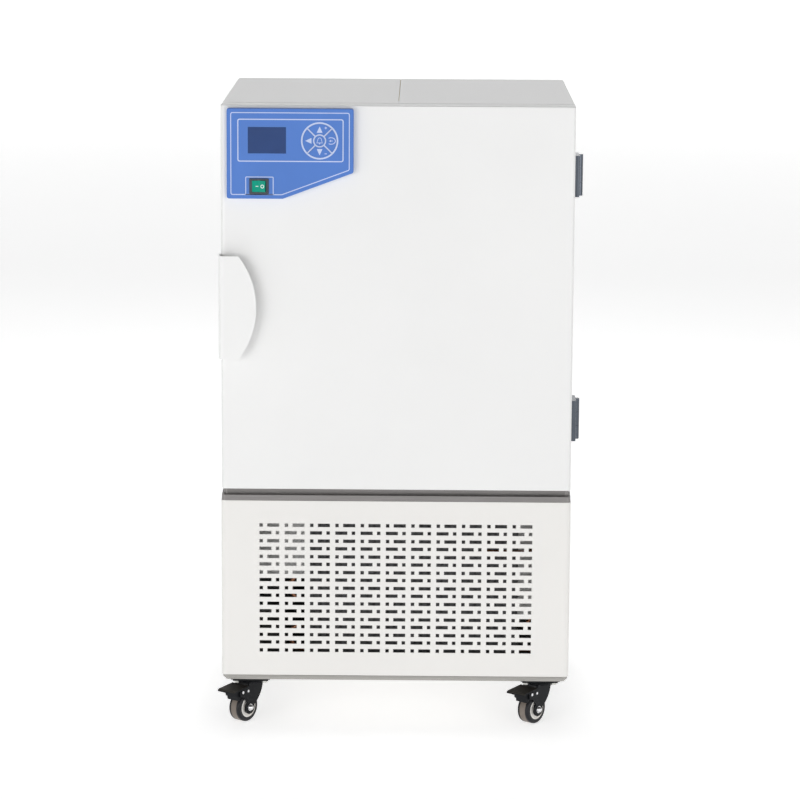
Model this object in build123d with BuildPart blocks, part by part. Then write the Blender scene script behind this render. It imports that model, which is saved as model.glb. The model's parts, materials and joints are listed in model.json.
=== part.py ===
from build123d import *
import os
from math import cos, pi, radians, sin

# Refrigerated incubator: an insulated chamber over a machine bay, on four swivel casters.
# Millimetres, +Z up. X runs across the front, -Y is the front, and the origin is on the floor
# under the middle of the object. All the driving sizes come first.

# Cabinet envelope
cabinet_width = 580
cabinet_depth = 484
cabinet_top = 1047
sheet = 1.5
bend_radius = 4
frame_return = 40
seam_gap = 1

# Base and casters, from the floor up
caster_height = 75
rail_height = 9
skirt_height = 8.5
skirt_inset = 1.5
skirt_chamfer = 5
skirt_radius = 11
pan_sheet = 2
rail_width = 66
rail_sheet = 2.5
rail_overhang = 3

# Machine bay front and steel trim
bay_gap = 1
bay_height = 297.7
trim_lip = 9.3
trim_neck = 9.5
trim_ledge = 14.5
trim_radius = 6

# Door
door_reveal = 1
door_thickness = 40
door_gap = 6
door_clearance = 1
door_radius = 7
door_inset = 14
gasket_width = 16
gasket_clearance = 0.3
liner_sheet = 2
plateau_height = 3

# Handle on the door's left edge
handle_standoff = 22
handle_sheet = 3
handle_height = 170
handle_reach = 62
handle_shoulder = 33
handle_leg = 36
handle_centre_z = 717
handle_bend = 7

# Control panel on the door
panel_width = 206
panel_height = 147
panel_side = 104
panel_foot = 91
panel_left = 11
panel_drop = 4.5
panel_rise = 13
panel_radius = 4
overlay_sheet = 0.8
overlay_inset = 0.6
lens_width = 62
lens_height = 43
lens_thickness = 1.5
lens_left = 34.5
lens_drop = 30
key_centre_left = 151
key_centre_drop = 52
key_outer = 27
key_inner = 11
key_middle = 8
key_gap = 3
key_fit = 0.3
key_proud = 0.4
key_travel = 0.4
key_pocket_depth = 2
switch_left = 52.6
switch_drop = 126.5
bezel_width = 31.6
bezel_height = 25.8
bezel_rim = 2
bezel_body_width = 27
bezel_body_height = 21.4
bezel_depth = 10
bezel_fit = 0.2
rocker_width = 21.6
rocker_height = 18.4
rocker_room = 0.7
rocker_tilt = 10
rocker_proud = 5.5
rocker_dip = 2.3

# Hinges on the right side
hinge_height = 68
hinge_offset = 7.5
hinge_barrel = 11
hinge_leaf = 6.5
hinge_leaf_width = 27
hinge_leaf_gap = 3
hinge_from_end = 115
hinge_pin = 5
hinge_fit = 0.05
knuckle_share = 1 / 3
knuckle_gap = 0.4

# Chamber
chamber_width = 450
chamber_height = 510
chamber_depth = 420
chamber_floor = 467
deck_thickness = 2
duct_depth = 73
duct_sheet = 1.2
duct_fit = 1
fan_height = 425
fan_radius = 62
shelf_fit = 6
shelf_depth = 290
shelf_wire = 5
shelf_rod = 3.6
shelf_rods = 15
shelf_heights = (140, 310)
post_width = 14
post_depth = 5
post_height = 440
runner_width = 12

# Grille in the machine bay's front
grille_radius = 8
slot_height = 5.9
slot_bar = 20
slot_dot = 5.8
slot_group = 33
group_pitch = 42
groups = 11
row_pitch = 26.7
row_offset = 12.9
row_pairs = 8
first_row_drop = 41.3

# Machine bay contents
condenser_left_room = 138
condenser_right_room = 86
condenser_headroom = 25.2
condenser_depth = 44
condenser_setback = 12
fin_pitch = 11.3
fin_groove = 4
tube_radius = 4
shroud_depth = 40
bay_fan_radius = 92
compressor_radius = 76
compressor_height = 168
compressor_inset = 170
pipe_radius = 3.2

# Casters
caster_inset = 46
caster_setback = 69
plate_size = 60
plate_thickness = 3
bolt_spacing = 46
bolt_radius = 3
bolt_hole_radius = 3.3
nut_radius = 5
nut_height = 4
race_radius = 20
race_height = 4
crown_radius = 22
crown_thickness = 3
kingpin_radius = 5
caster_fit = 0.08
wheel_diameter = 50
wheel_width = 23
shoulder_radius = 3.5
hub_radius = 17.5
hub_step = 2.6
hub_depth = 2
trail = 21
fork_gap = 25.4
fork_sheet = 2.5
leg_radius = 11.5
axle_radius = 3.5
axle_dome = 5
axle_fit = 0.06
brake_pin = (26.3, 54.5)
brake_pin_radius = 2.2
guide_rivet = 39.5
pedal_width = 38
pedal_reach = 64.5
brake_travel = 8
brake_gap = 0.3
block_fit = 0.5
front_headings = (232, 230)
rear_headings = (75, 100)

# Places worked out from the sizes above
overall_depth = cabinet_depth + door_gap + door_thickness + handle_standoff
side_x = cabinet_width / 2
caster_x = side_x - caster_inset
back_y = overall_depth / 2
door_y = -overall_depth / 2 + handle_standoff
door_back_y = door_y + door_thickness
frame_y = door_back_y + door_gap
casing_y = frame_y + frame_return
base_z = caster_height + rail_height
rim_z = base_z + skirt_height
bay_z = rim_z + bay_gap
trim_z = bay_z + bay_height
ledge_z = trim_z + trim_lip
neck_z = ledge_z + trim_neck
door_z = neck_z + door_clearance
chamber_top = chamber_floor + chamber_height
liner_back_y = frame_y + chamber_depth
duct_y = liner_back_y - duct_depth
door_x = side_x - door_reveal
hinge_x = side_x + hinge_offset
hinge_y = (door_back_y + frame_y) / 2
hinge_centres = (door_z + hinge_from_end, cabinet_top - hinge_from_end)
condenser_left = -side_x + condenser_left_room
condenser_right = side_x - condenser_right_room
condenser_x = (condenser_left + condenser_right) / 2
condenser_top = trim_z - condenser_headroom
compressor_x = -side_x + compressor_inset
panel_x = -door_x + panel_left
panel_z = cabinet_top - panel_drop
panel_y = door_y - panel_rise
casters = {
    "front_left": (-caster_x, door_y + caster_setback, front_headings[0]),
    "front_right": (caster_x, door_y + caster_setback, front_headings[1]),
    "rear_left": (-caster_x, back_y - caster_setback, rear_headings[0]),
    "rear_right": (caster_x, back_y - caster_setback, rear_headings[1]),
}
os.makedirs("parts", exist_ok=True)


def block(x_span, y_span, z_span, mode=Mode.ADD):
    """A box between two values on each axis, in the part being built."""
    spans = (x_span, y_span, z_span)
    with Locations(tuple(sum(span) / 2 for span in spans)):
        Box(*[max(span) - min(span) for span in spans], mode=mode)


def save(builder, name):
    """Labels a finished piece and writes it to its own file."""
    builder.part.label = name
    export_step(builder.part, f"parts/{name}.step")


def near(builder, axis, x=None, y=None, z=None, reach=0.2):
    """The edges along an axis whose middle is at the given coordinates."""
    found = []
    for edge in builder.edges().filter_by(axis):
        middle = edge.center()
        wanted = ((x, middle.X), (y, middle.Y), (z, middle.Z))
        if all(want is None or abs(want - value) < reach for want, value in wanted):
            found.append(edge)
    return ShapeList(found)


# Base: a folded pan with a sloping skirt
caster_spots = [(x, y) for x, y, heading in casters.values()]
with BuildPart() as base_frame:
    block(
        (-side_x + skirt_inset, side_x - skirt_inset),
        (door_y + skirt_inset, back_y - skirt_inset),
        (base_z, rim_z),
    )
    fillet(base_frame.edges().filter_by(Axis.Z), skirt_radius)
    chamfer(base_frame.faces().sort_by(Axis.Z)[0].edges(), skirt_chamfer)
    offset(amount=-pan_sheet, openings=base_frame.faces().sort_by(Axis.Z)[-1])
    for x, y in caster_spots:
        with Locations((x, y, base_z)):
            with GridLocations(bolt_spacing, bolt_spacing, 2, 2):
                Cylinder(bolt_hole_radius, 4 * pan_sheet, mode=Mode.SUBTRACT)
save(base_frame, "base_frame")

# Caster rails: two channels under the pan, front to back, with their open side down
rail_y = (door_y + caster_setback, back_y - caster_setback)
rail_end = plate_size / 2 + rail_overhang
with BuildPart() as caster_rails:
    for x in (-caster_x, caster_x):
        block(
            (x - rail_width / 2, x + rail_width / 2),
            (rail_y[0] - rail_end, rail_y[1] + rail_end),
            (caster_height, base_z),
        )
        block(
            (x - rail_width / 2 + rail_sheet, x + rail_width / 2 - rail_sheet),
            (rail_y[0] + rail_end, rail_y[1] - rail_end),
            (caster_height, base_z - rail_sheet),
            mode=Mode.SUBTRACT,
        )
    for x, y in caster_spots:
        with Locations((x, y, base_z)):
            with GridLocations(bolt_spacing, bolt_spacing, 2, 2):
                Cylinder(bolt_hole_radius, 4 * rail_height, mode=Mode.SUBTRACT)
save(caster_rails, "caster_rails")

# Casing: two bent shells, each one side and half of the top, that meet on the top's centre line
flange = 16
casing_back_y = back_y - sheet
with BuildPart() as left_casing:
    block((-side_x, -side_x + sheet), (casing_y, casing_back_y), (rim_z, cabinet_top))
    block(
        (-side_x, -seam_gap / 2),
        (casing_y, casing_back_y),
        (cabinet_top - sheet, cabinet_top),
    )
    block((-side_x, -side_x + flange), (casing_y, casing_back_y), (rim_z, rim_z + sheet))
    block(
        (-side_x, -side_x + flange),
        (casing_back_y - sheet, casing_back_y),
        (rim_z, cabinet_top),
    )
    block(
        (-side_x, -seam_gap / 2),
        (casing_back_y - sheet, casing_back_y),
        (cabinet_top - flange, cabinet_top),
    )
    fillet(near(left_casing, Axis.Y, x=-side_x, z=cabinet_top), bend_radius)
save(left_casing, "left_casing")

with BuildPart() as right_casing:
    mirror(left_casing.part, about=Plane.YZ)
save(right_casing, "right_casing")

# Front frame: the face that the door closes on, with its returns flush with the casing
mouth_margin = 40
mouth_lip = 16
with BuildPart() as front_frame:
    block((-side_x, side_x), (frame_y, casing_y), (rim_z, cabinet_top))
    fillet(near(front_frame, Axis.Y, z=cabinet_top), bend_radius)
    block(
        (-side_x + sheet, side_x - sheet),
        (frame_y + sheet, casing_y),
        (rim_z + sheet, cabinet_top - sheet),
        mode=Mode.SUBTRACT,
    )
    block(
        (-side_x + flange, side_x - flange),
        (frame_y + sheet, casing_y),
        (rim_z, rim_z + sheet),
        mode=Mode.SUBTRACT,
    )
    block(
        (-chamber_width / 2 - sheet, chamber_width / 2 + sheet),
        (frame_y, frame_y + sheet),
        (chamber_floor - sheet, chamber_top + sheet),
        mode=Mode.SUBTRACT,
    )
    block(
        (-side_x + mouth_margin, side_x - mouth_margin),
        (frame_y, frame_y + sheet),
        (rim_z + mouth_lip, trim_z - mouth_lip),
        mode=Mode.SUBTRACT,
    )
save(front_frame, "front_frame")

# Deck between the machine bay and the insulated chamber
with BuildPart() as machine_deck:
    block(
        (-side_x + sheet, side_x - sheet),
        (frame_y + sheet, casing_back_y - sheet),
        (trim_z, trim_z + deck_thickness),
    )
save(machine_deck, "machine_deck")

# Back: a plain upper panel and a louvred cover over the machine bay, lapped on the casing's flanges
panel_margin = 3
cover_split = trim_z + deck_thickness + 2
louvre_rows = 9
louvre_pitch = 22
louvre_length = 150
louvre_height = 6
louvre_gap = 80
louvre_drop = 30
inlet_inset = 75
inlet_lift = 45
inlet_x = side_x - inlet_inset
inlet_z = rim_z + inlet_lift
screw_margin = 9
cover_screw_end = 20
panel_screw_end = 30
inlet_width = 48
inlet_height = 27
screw_hole = 2.2
screw_x = side_x - screw_margin
cover_screw_z = (rim_z + cover_screw_end, trim_z - cover_screw_end)
cover_screws = [(x, z) for x in (-screw_x, screw_x) for z in cover_screw_z]
panel_screw_z = (cover_split + panel_screw_end, cabinet_top - panel_screw_end)
panel_screws = [(x, z) for x in (-screw_x, screw_x) for z in panel_screw_z]
with BuildPart() as rear_panel:
    block(
        (-side_x + panel_margin, side_x - panel_margin),
        (casing_back_y, back_y),
        (cover_split, cabinet_top - panel_margin),
    )
    for x, z in panel_screws:
        with Locations(Plane((x, back_y, z), z_dir=(0, 1, 0))):
            Hole(screw_hole, depth=sheet)
save(rear_panel, "rear_panel")

with BuildPart() as rear_cover:
    block(
        (-side_x + panel_margin, side_x - panel_margin),
        (casing_back_y, back_y),
        (rim_z + panel_margin, cover_split - bay_gap),
    )
    for x, z in cover_screws:
        with Locations(Plane((x, back_y, z), z_dir=(0, 1, 0))):
            Hole(screw_hole, depth=sheet)
    louvre_bottom = trim_z - louvre_drop - (louvre_rows - 1) * louvre_pitch
    louvre_x = (louvre_gap + louvre_length) / 2
    for row in range(louvre_rows):
        for x in (-louvre_x, louvre_x):
            z = louvre_bottom + row * louvre_pitch
            block(
                (x - louvre_length / 2, x + louvre_length / 2),
                (casing_back_y, back_y),
                (z - louvre_height / 2, z + louvre_height / 2),
                mode=Mode.SUBTRACT,
            )
    block(
        (inlet_x - inlet_width / 2, inlet_x + inlet_width / 2),
        (casing_back_y, back_y),
        (inlet_z - inlet_height / 2, inlet_z + inlet_height / 2),
        mode=Mode.SUBTRACT,
    )
save(rear_cover, "rear_cover")

# Chamber liner: a stainless box, open to the front
with BuildPart() as chamber_liner:
    block(
        (-chamber_width / 2 - sheet, chamber_width / 2 + sheet),
        (frame_y, liner_back_y + sheet),
        (chamber_floor - sheet, chamber_top + sheet),
    )
    block(
        (-chamber_width / 2, chamber_width / 2),
        (frame_y, liner_back_y),
        (chamber_floor, chamber_top),
        mode=Mode.SUBTRACT,
    )
save(chamber_liner, "chamber_liner")

with BuildPart() as cabinet_insulation:
    block(
        (-side_x + sheet, side_x - sheet),
        (frame_y + sheet, casing_back_y - sheet),
        (trim_z + deck_thickness, cabinet_top - sheet),
    )
    fillet(near(cabinet_insulation, Axis.Y, z=cabinet_top - sheet), bend_radius - sheet)
    block(
        (-chamber_width / 2 - sheet, chamber_width / 2 + sheet),
        (frame_y, liner_back_y + sheet),
        (chamber_floor - sheet, chamber_top + sheet),
        mode=Mode.SUBTRACT,
    )
save(cabinet_insulation, "cabinet_insulation")

# Air duct: a folded baffle in front of the evaporator, with a fan grille and return slots
fan_z = chamber_floor + fan_height
duct_x = chamber_width / 2 - duct_fit
ring_radii = (22, 36, 50)
ring_slot = 6
return_slots = 9
return_pitch = 44
return_rows = 3
return_low = 30
return_row_pitch = 16
return_length = 30
spoke_angle = 45
with BuildPart() as duct_panel:
    block(
        (-duct_x, duct_x),
        (duct_y, liner_back_y),
        (chamber_floor, chamber_top),
    )
    block(
        (-duct_x + duct_sheet, duct_x - duct_sheet),
        (duct_y + duct_sheet, liner_back_y),
        (chamber_floor, chamber_top),
        mode=Mode.SUBTRACT,
    )
    with BuildSketch(Plane((0, duct_y, fan_z), x_dir=(1, 0, 0), z_dir=(0, -1, 0))) as fan_grille:
        for radius in ring_radii:
            Circle(radius + ring_slot / 2)
            Circle(radius - ring_slot / 2, mode=Mode.SUBTRACT)
        with PolarLocations(0, 4, start_angle=spoke_angle):
            Rectangle(3 * fan_radius, ring_slot, mode=Mode.SUBTRACT)
    extrude(amount=-duct_sheet, mode=Mode.SUBTRACT)
    for row in range(return_rows):
        with Locations((0, duct_y, chamber_floor + return_low + return_row_pitch * row)):
            with GridLocations(return_pitch, 1, return_slots, 1):
                Box(return_length, 4 * duct_sheet, ring_slot, mode=Mode.SUBTRACT)
save(duct_panel, "duct_panel")

# Air circulation behind the duct: evaporator, heater, fan motor and fan
coil_gap = 14
coil_depth = 40
coil_margin = 25
coil_low = 90
coil_height = 160
coil_columns = 20
coil_groove = 4
coil_bracket = 20
with BuildPart() as evaporator:
    coil_x = duct_x - coil_margin
    coil_y = duct_y + coil_gap
    coil_z = (chamber_floor + coil_low, chamber_floor + coil_low + coil_height)
    block((-coil_x, coil_x), (coil_y, coil_y + coil_depth), coil_z)
    with Locations((0, coil_y, sum(coil_z) / 2)):
        with GridLocations(2 * coil_x / coil_columns, 1, coil_columns, 1):
            Box(coil_groove, 2 * coil_groove, coil_height, mode=Mode.SUBTRACT)
    for side in (-1, 1):
        block(
            (side * (coil_x - coil_bracket), side * coil_x),
            (coil_y + coil_depth, liner_back_y),
            (coil_z[0] + coil_bracket / 2, coil_z[1] - coil_bracket / 2),
        )
save(evaporator, "evaporator")

heater_radius = 4
heater_bend = 12
heater_gap = 10
heater_lift = 40
heater_step = 60
heater_x = coil_x - coil_bracket - heater_gap
heater_z = coil_z[1] + heater_lift
heater_rise = 40
heater_y = coil_y + coil_depth / 2
with BuildPart() as heater:
    with BuildLine() as heater_path:
        FilletPolyline(
            (-heater_x, liner_back_y, heater_z),
            (-heater_x, heater_y, heater_z),
            (heater_x, heater_y, heater_z),
            (heater_x, heater_y, heater_z + heater_rise),
            (-heater_x + heater_step, heater_y, heater_z + heater_rise),
            (-heater_x + heater_step, liner_back_y, heater_z + heater_rise),
            radius=heater_bend,
        )
    with BuildSketch(heater_path.line ^ 0):
        Circle(heater_radius)
    sweep(transition=Transition.ROUND)
save(heater, "heater")

motor_depth = 32
motor_radius = 30
motor_ear = 24
motor_ear_sheet = 4
motor_ear_lap = 2
fan_gap = 1
fan_hub = 12
fan_tip_gap = 8
fan_blade = 26
fan_pitch = 28
blades = 5
blade_sheet = 1.6
blade_trim = 1
shaft_radius = 3
hub_length = 16
with BuildPart() as fan_motor:
    with Locations(Plane((0, liner_back_y, fan_z), z_dir=(0, -1, 0))):
        Cylinder(motor_radius, motor_depth, align=(Align.CENTER, Align.CENTER, Align.MIN))
        Cylinder(shaft_radius, motor_depth + hub_length, align=(Align.CENTER, Align.CENTER, Align.MIN))
    for side in (-1, 1):
        block(
            (side * (motor_radius - motor_ear_lap), side * (motor_radius + motor_ear)),
            (liner_back_y - motor_ear_sheet, liner_back_y),
            (fan_z - motor_ear / 2, fan_z + motor_ear / 2),
        )
save(fan_motor, "circulation_fan_motor")


def fan(plane, hub, length, tip, blade_width, pitch):
    """A bored hub and its leaning blades on a plane whose normal is the shaft."""
    with BuildPart(plane) as built:
        Cylinder(hub, length, align=(Align.CENTER, Align.CENTER, Align.MIN))
        for blade in range(blades):
            turn = Location((0, 0, length / 2), (0, 0, 360 / blades * blade))
            lean = Location((0, 0, 0), (pitch, 0, 0))
            with Locations(turn * lean):
                Box(
                    tip - blade_trim,
                    blade_width,
                    blade_sheet,
                    align=(Align.MIN, Align.CENTER, Align.CENTER),
                )
        with BuildSketch(plane):
            Circle(tip)
        extrude(amount=length, mode=Mode.INTERSECT)
        Cylinder(shaft_radius + hinge_fit, 3 * length, mode=Mode.SUBTRACT)
    return built


circulation_fan = fan(
    Plane((0, liner_back_y - motor_depth - fan_gap, fan_z), z_dir=(0, -1, 0)),
    fan_hub,
    hub_length - fan_gap,
    fan_radius - fan_tip_gap,
    fan_blade,
    fan_pitch,
)
save(circulation_fan, "circulation_fan")

probe_margin = 60
probe_length = 60
probe_radius = 3
probe_collar = 9
probe_flange = 4
probe_tip = 2.5
probe_x = chamber_width / 2 - probe_margin
probe_z = chamber_top - probe_margin
with BuildPart() as temperature_probe:
    with Locations(Plane((probe_x, duct_y, probe_z), z_dir=(0, -1, 0))):
        Cylinder(probe_collar, probe_flange, align=(Align.CENTER, Align.CENTER, Align.MIN))
        Cylinder(probe_radius, probe_length, align=(Align.CENTER, Align.CENTER, Align.MIN))
    fillet(temperature_probe.faces().sort_by(Axis.Y)[0].edges(), probe_tip)
save(temperature_probe, "temperature_probe")

# Shelf rails: slotted posts on both walls, with a runner hooked on each pair of posts
wall_x = chamber_width / 2
front_post_setback = 70
rear_post_gap = 40
post_lift = 30
post_ys = (frame_y + front_post_setback, duct_y - rear_post_gap)
post_z = chamber_floor + post_lift
post_holes = 8
hole_pitch = 50
hole_low = 30
hole_depth = 2
hole_width = 6
hole_height = 10
runner_drop = 3
runner_end = 20
runner_height = 14
shelf_overhang = 30
shelf_bend = 12
with BuildPart() as shelf_rails:
    for side in (-1, 1):
        for y in post_ys:
            block(
                (side * wall_x, side * (wall_x - post_depth)),
                (y - post_width / 2, y + post_width / 2),
                (post_z, post_z + post_height),
            )
            for hole in range(post_holes):
                z = post_z + hole_low + hole_pitch * hole
                block(
                    (side * (wall_x - post_depth), side * (wall_x - post_depth + hole_depth)),
                    (y - hole_width / 2, y + hole_width / 2),
                    (z - hole_height / 2, z + hole_height / 2),
                    mode=Mode.SUBTRACT,
                )
        for height in shelf_heights:
            z = chamber_floor + height - runner_drop
            block(
                (side * (wall_x - post_depth), side * (wall_x - post_depth - sheet)),
                (post_ys[0] - runner_end, post_ys[1] + runner_end),
                (z, z + runner_height),
            )
            block(
                (side * (wall_x - post_depth), side * (wall_x - post_depth - runner_width)),
                (post_ys[0] - runner_end, post_ys[1] + runner_end),
                (z, z + sheet),
            )
save(shelf_rails, "shelf_rails")


def shelf(height):
    """A wire shelf: a bent frame with rods across it, lying on two runners."""
    z = chamber_floor + height - runner_drop + sheet + shelf_wire / 2
    low_y = post_ys[0] - shelf_overhang
    high_y = low_y + shelf_depth
    half = chamber_width / 2 - post_depth - sheet - shelf_fit - shelf_wire / 2
    with BuildPart() as built:
        with BuildLine() as rim:
            FilletPolyline(
                (half, low_y, z),
                (half, high_y, z),
                (-half, high_y, z),
                (-half, low_y, z),
                radius=shelf_bend,
                close=True,
            )
        with BuildSketch(rim.line ^ 0):
            Circle(shelf_wire / 2)
        sweep()
        with Locations(Location((0, (low_y + high_y) / 2, z), (0, 90, 0))):
            Cylinder(shelf_wire / 2, 2 * half)
        rod_pitch = 2 * half / (shelf_rods + 1)
        for rod in range(shelf_rods):
            x = -half + rod_pitch * (rod + 1)
            rod_z = z + shelf_wire / 2
            with Locations(Location((x, (low_y + high_y) / 2, rod_z), (90, 0, 0))):
                Cylinder(shelf_rod / 2, shelf_depth + shelf_rod / 2)
    return built


for shelf_name, shelf_height in zip(("lower_shelf", "upper_shelf"), shelf_heights):
    save(shelf(shelf_height), shelf_name)

# Steel trim between the door and the machine bay: a lip, a ledge and a recessed neck
trim_sheet = 1.5
trim_setback = 1
neck_inset = 3
trim_y = door_y + trim_setback
neck_x = door_x - neck_inset
with BuildPart() as trim_strip:
    block((-door_x, door_x), (trim_y, frame_y), (trim_z, ledge_z))
    fillet(near(trim_strip, Axis.Z, y=trim_y), trim_radius)
    block(
        (-neck_x, neck_x),
        (door_y + trim_ledge, frame_y),
        (ledge_z, neck_z),
    )
    fillet(near(trim_strip, Axis.Z, y=door_y + trim_ledge), trim_radius)
    block(
        (-door_x + trim_radius, door_x - trim_radius),
        (trim_y + trim_sheet, frame_y),
        (trim_z, ledge_z - trim_sheet),
        mode=Mode.SUBTRACT,
    )
    block(
        (-neck_x + trim_radius, neck_x - trim_radius),
        (door_y + trim_ledge + trim_sheet, frame_y),
        (ledge_z - trim_sheet, neck_z - trim_sheet),
        mode=Mode.SUBTRACT,
    )
save(trim_strip, "trim_strip")


# Grille: a folded front whose slots stand in rows of a dot and a bar, turned about in every other row
bar_places = []
dot_places = []
for row in range(2 * row_pairs + 1):
    side = 1 if row % 2 == 0 else -1
    row_z = trim_z - first_row_drop - row // 2 * row_pitch - row % 2 * row_offset
    for group in range(groups):
        group_x = (group - (groups - 1) / 2) * group_pitch
        bar_places.append((group_x + side * (slot_group - slot_bar) / 2, row_z))
        dot_places.append((group_x - side * (slot_group - slot_dot) / 2, row_z))

with BuildPart() as front_grille:
    block((-side_x, side_x), (door_y, frame_y), (bay_z, trim_z))
    fillet(near(front_grille, Axis.Z, y=door_y), grille_radius)
    with BuildSketch(Plane.XY.offset(bay_z + sheet)):
        inner_depth = frame_y - door_y - sheet
        with Locations((0, frame_y - inner_depth / 2)):
            hollow = Rectangle(cabinet_width - 2 * sheet, inner_depth)
        fillet(hollow.vertices().sort_by(Axis.Y)[:2], grille_radius - sheet)
    extrude(amount=bay_height - 2 * sheet, mode=Mode.SUBTRACT)
    with BuildSketch(Plane((0, door_y, 0), x_dir=(1, 0, 0), z_dir=(0, -1, 0))):
        with Locations(*bar_places):
            Rectangle(slot_bar, slot_height)
        with Locations(*dot_places):
            Rectangle(slot_dot, slot_height)
    extrude(amount=-sheet, mode=Mode.SUBTRACT)
save(front_grille, "front_grille")

# Machine bay: compressor on rubber feet, finned condenser with its shroud, fan and copper pipes
pan_floor = base_z + pan_sheet
compressor_setback = 240
bay_centre_y = frame_y + compressor_setback
foot_height = 12
foot_radius = 11
foot_plate = 4
foot_plate_width = 70
foot_pitch = 50
shell_crown = 30
shell_foot = 12
seam_rim = 4
seam_height = 5
seam_share = 0.55
terminal_box = (40, 50, 56)
terminal_drop = 45
terminal_lap = 6
compressor_foot = pan_floor + foot_height
compressor_top = compressor_foot + compressor_height
with BuildPart() as compressor:
    with Locations((compressor_x, bay_centre_y, compressor_foot)):
        Cylinder(compressor_radius, compressor_height, align=(Align.CENTER, Align.CENTER, Align.MIN))
    fillet(compressor.faces().sort_by(Axis.Z)[-1].edges(), shell_crown)
    fillet(compressor.faces().sort_by(Axis.Z)[0].edges(), shell_foot)
    seam_z = compressor_foot + compressor_height * seam_share
    with Locations((compressor_x, bay_centre_y, seam_z)):
        Cylinder(compressor_radius + seam_rim, seam_height)
    with Locations((compressor_x, bay_centre_y, compressor_foot)):
        Box(
            2 * (compressor_radius + foot_radius),
            foot_plate_width,
            foot_plate,
            align=(Align.CENTER, Align.CENTER, Align.MIN),
        )
        with GridLocations(2 * compressor_radius, foot_pitch, 2, 2):
            Cylinder(foot_radius, foot_height, align=(Align.CENTER, Align.CENTER, Align.MAX))
    with Locations((compressor_x + compressor_radius - terminal_lap, bay_centre_y, seam_z - terminal_drop)):
        Box(*terminal_box)
save(compressor, "compressor")

condenser_y = frame_y + condenser_setback
condenser_height = condenser_top - pan_floor
end_plate = 3
header = 8
with BuildPart() as condenser:
    block(
        (condenser_left, condenser_right),
        (condenser_y, condenser_y + condenser_depth),
        (pan_floor, condenser_top),
    )
    fins = int((condenser_right - condenser_left - 2 * end_plate) / fin_pitch)
    with Locations((condenser_x, condenser_y, (pan_floor + condenser_top) / 2)):
        with GridLocations(fin_pitch, 1, fins, 1):
            Box(fin_groove, 2 * fin_groove, condenser_height - 2 * header, mode=Mode.SUBTRACT)
save(condenser, "condenser")

shroud_y = condenser_y + condenser_depth
shroud_sheet = 1.5
bay_fan_z = (pan_floor + condenser_top) / 2
bay_fan_hub = 22
bay_fan_length = 24
bay_fan_room = 5
bay_fan_blade = 46
bay_fan_pitch = 26
bay_fan_gap = 2
shaft_end = 6
arm_reach = 12
bay_motor_radius = 34
bay_motor_depth = 46
motor_gap = 14
arm_sheet = 4
arm_width = 16
arm_end = bay_fan_radius + arm_reach
with BuildPart() as condenser_shroud:
    block(
        (condenser_left, condenser_right),
        (shroud_y, shroud_y + shroud_depth),
        (pan_floor, condenser_top),
    )
    block(
        (condenser_left + shroud_sheet, condenser_right - shroud_sheet),
        (shroud_y, shroud_y + shroud_depth - shroud_sheet),
        (pan_floor + shroud_sheet, condenser_top - shroud_sheet),
        mode=Mode.SUBTRACT,
    )
    with Locations(Plane((condenser_x, shroud_y + shroud_depth, bay_fan_z), z_dir=(0, 1, 0))):
        Cylinder(bay_fan_radius + bay_fan_room, 4 * shroud_sheet, mode=Mode.SUBTRACT)
    motor_y = shroud_y + shroud_depth + motor_gap
    with Locations(Plane((condenser_x, motor_y, bay_fan_z), z_dir=(0, 1, 0))):
        Cylinder(bay_motor_radius, bay_motor_depth, align=(Align.CENTER, Align.CENTER, Align.MIN))
    for side in (-1, 1):
        block(
            (condenser_x + side * bay_motor_radius / 2, condenser_x + side * arm_end),
            (motor_y, motor_y + arm_sheet),
            (bay_fan_z - arm_width / 2, bay_fan_z + arm_width / 2),
        )
        block(
            (condenser_x + side * (arm_end - arm_sheet), condenser_x + side * arm_end),
            (shroud_y + shroud_depth - shroud_sheet, motor_y + arm_sheet),
            (bay_fan_z - arm_width / 2, bay_fan_z + arm_width / 2),
        )
    with Locations(Plane((condenser_x, motor_y, bay_fan_z), z_dir=(0, -1, 0))):
        Cylinder(shaft_radius, bay_fan_length + shaft_end, align=(Align.CENTER, Align.CENTER, Align.MIN))
save(condenser_shroud, "condenser_shroud")

condenser_fan = fan(
    Plane((condenser_x, motor_y - bay_fan_gap, bay_fan_z), z_dir=(0, -1, 0)),
    bay_fan_hub,
    bay_fan_length,
    bay_fan_radius,
    bay_fan_blade,
    bay_fan_pitch,
)
save(condenser_fan, "condenser_fan")

# Pipes: the condenser's return bends, the discharge and suction lines, and the filter drier
tube_rows = 6
tube_pitch = condenser_height / (tube_rows + 0.5)
tube_y = condenser_y + condenser_depth / 2


def pipe(points, radius, bend):
    """A round pipe along a polyline with bends of one radius, in the part being built."""
    with BuildLine() as path:
        FilletPolyline(*points, radius=bend)
    with BuildSketch(path.line ^ 0) as section:
        Circle(radius)
    sweep(section.sketch, path=path.line, transition=Transition.ROUND)


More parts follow.
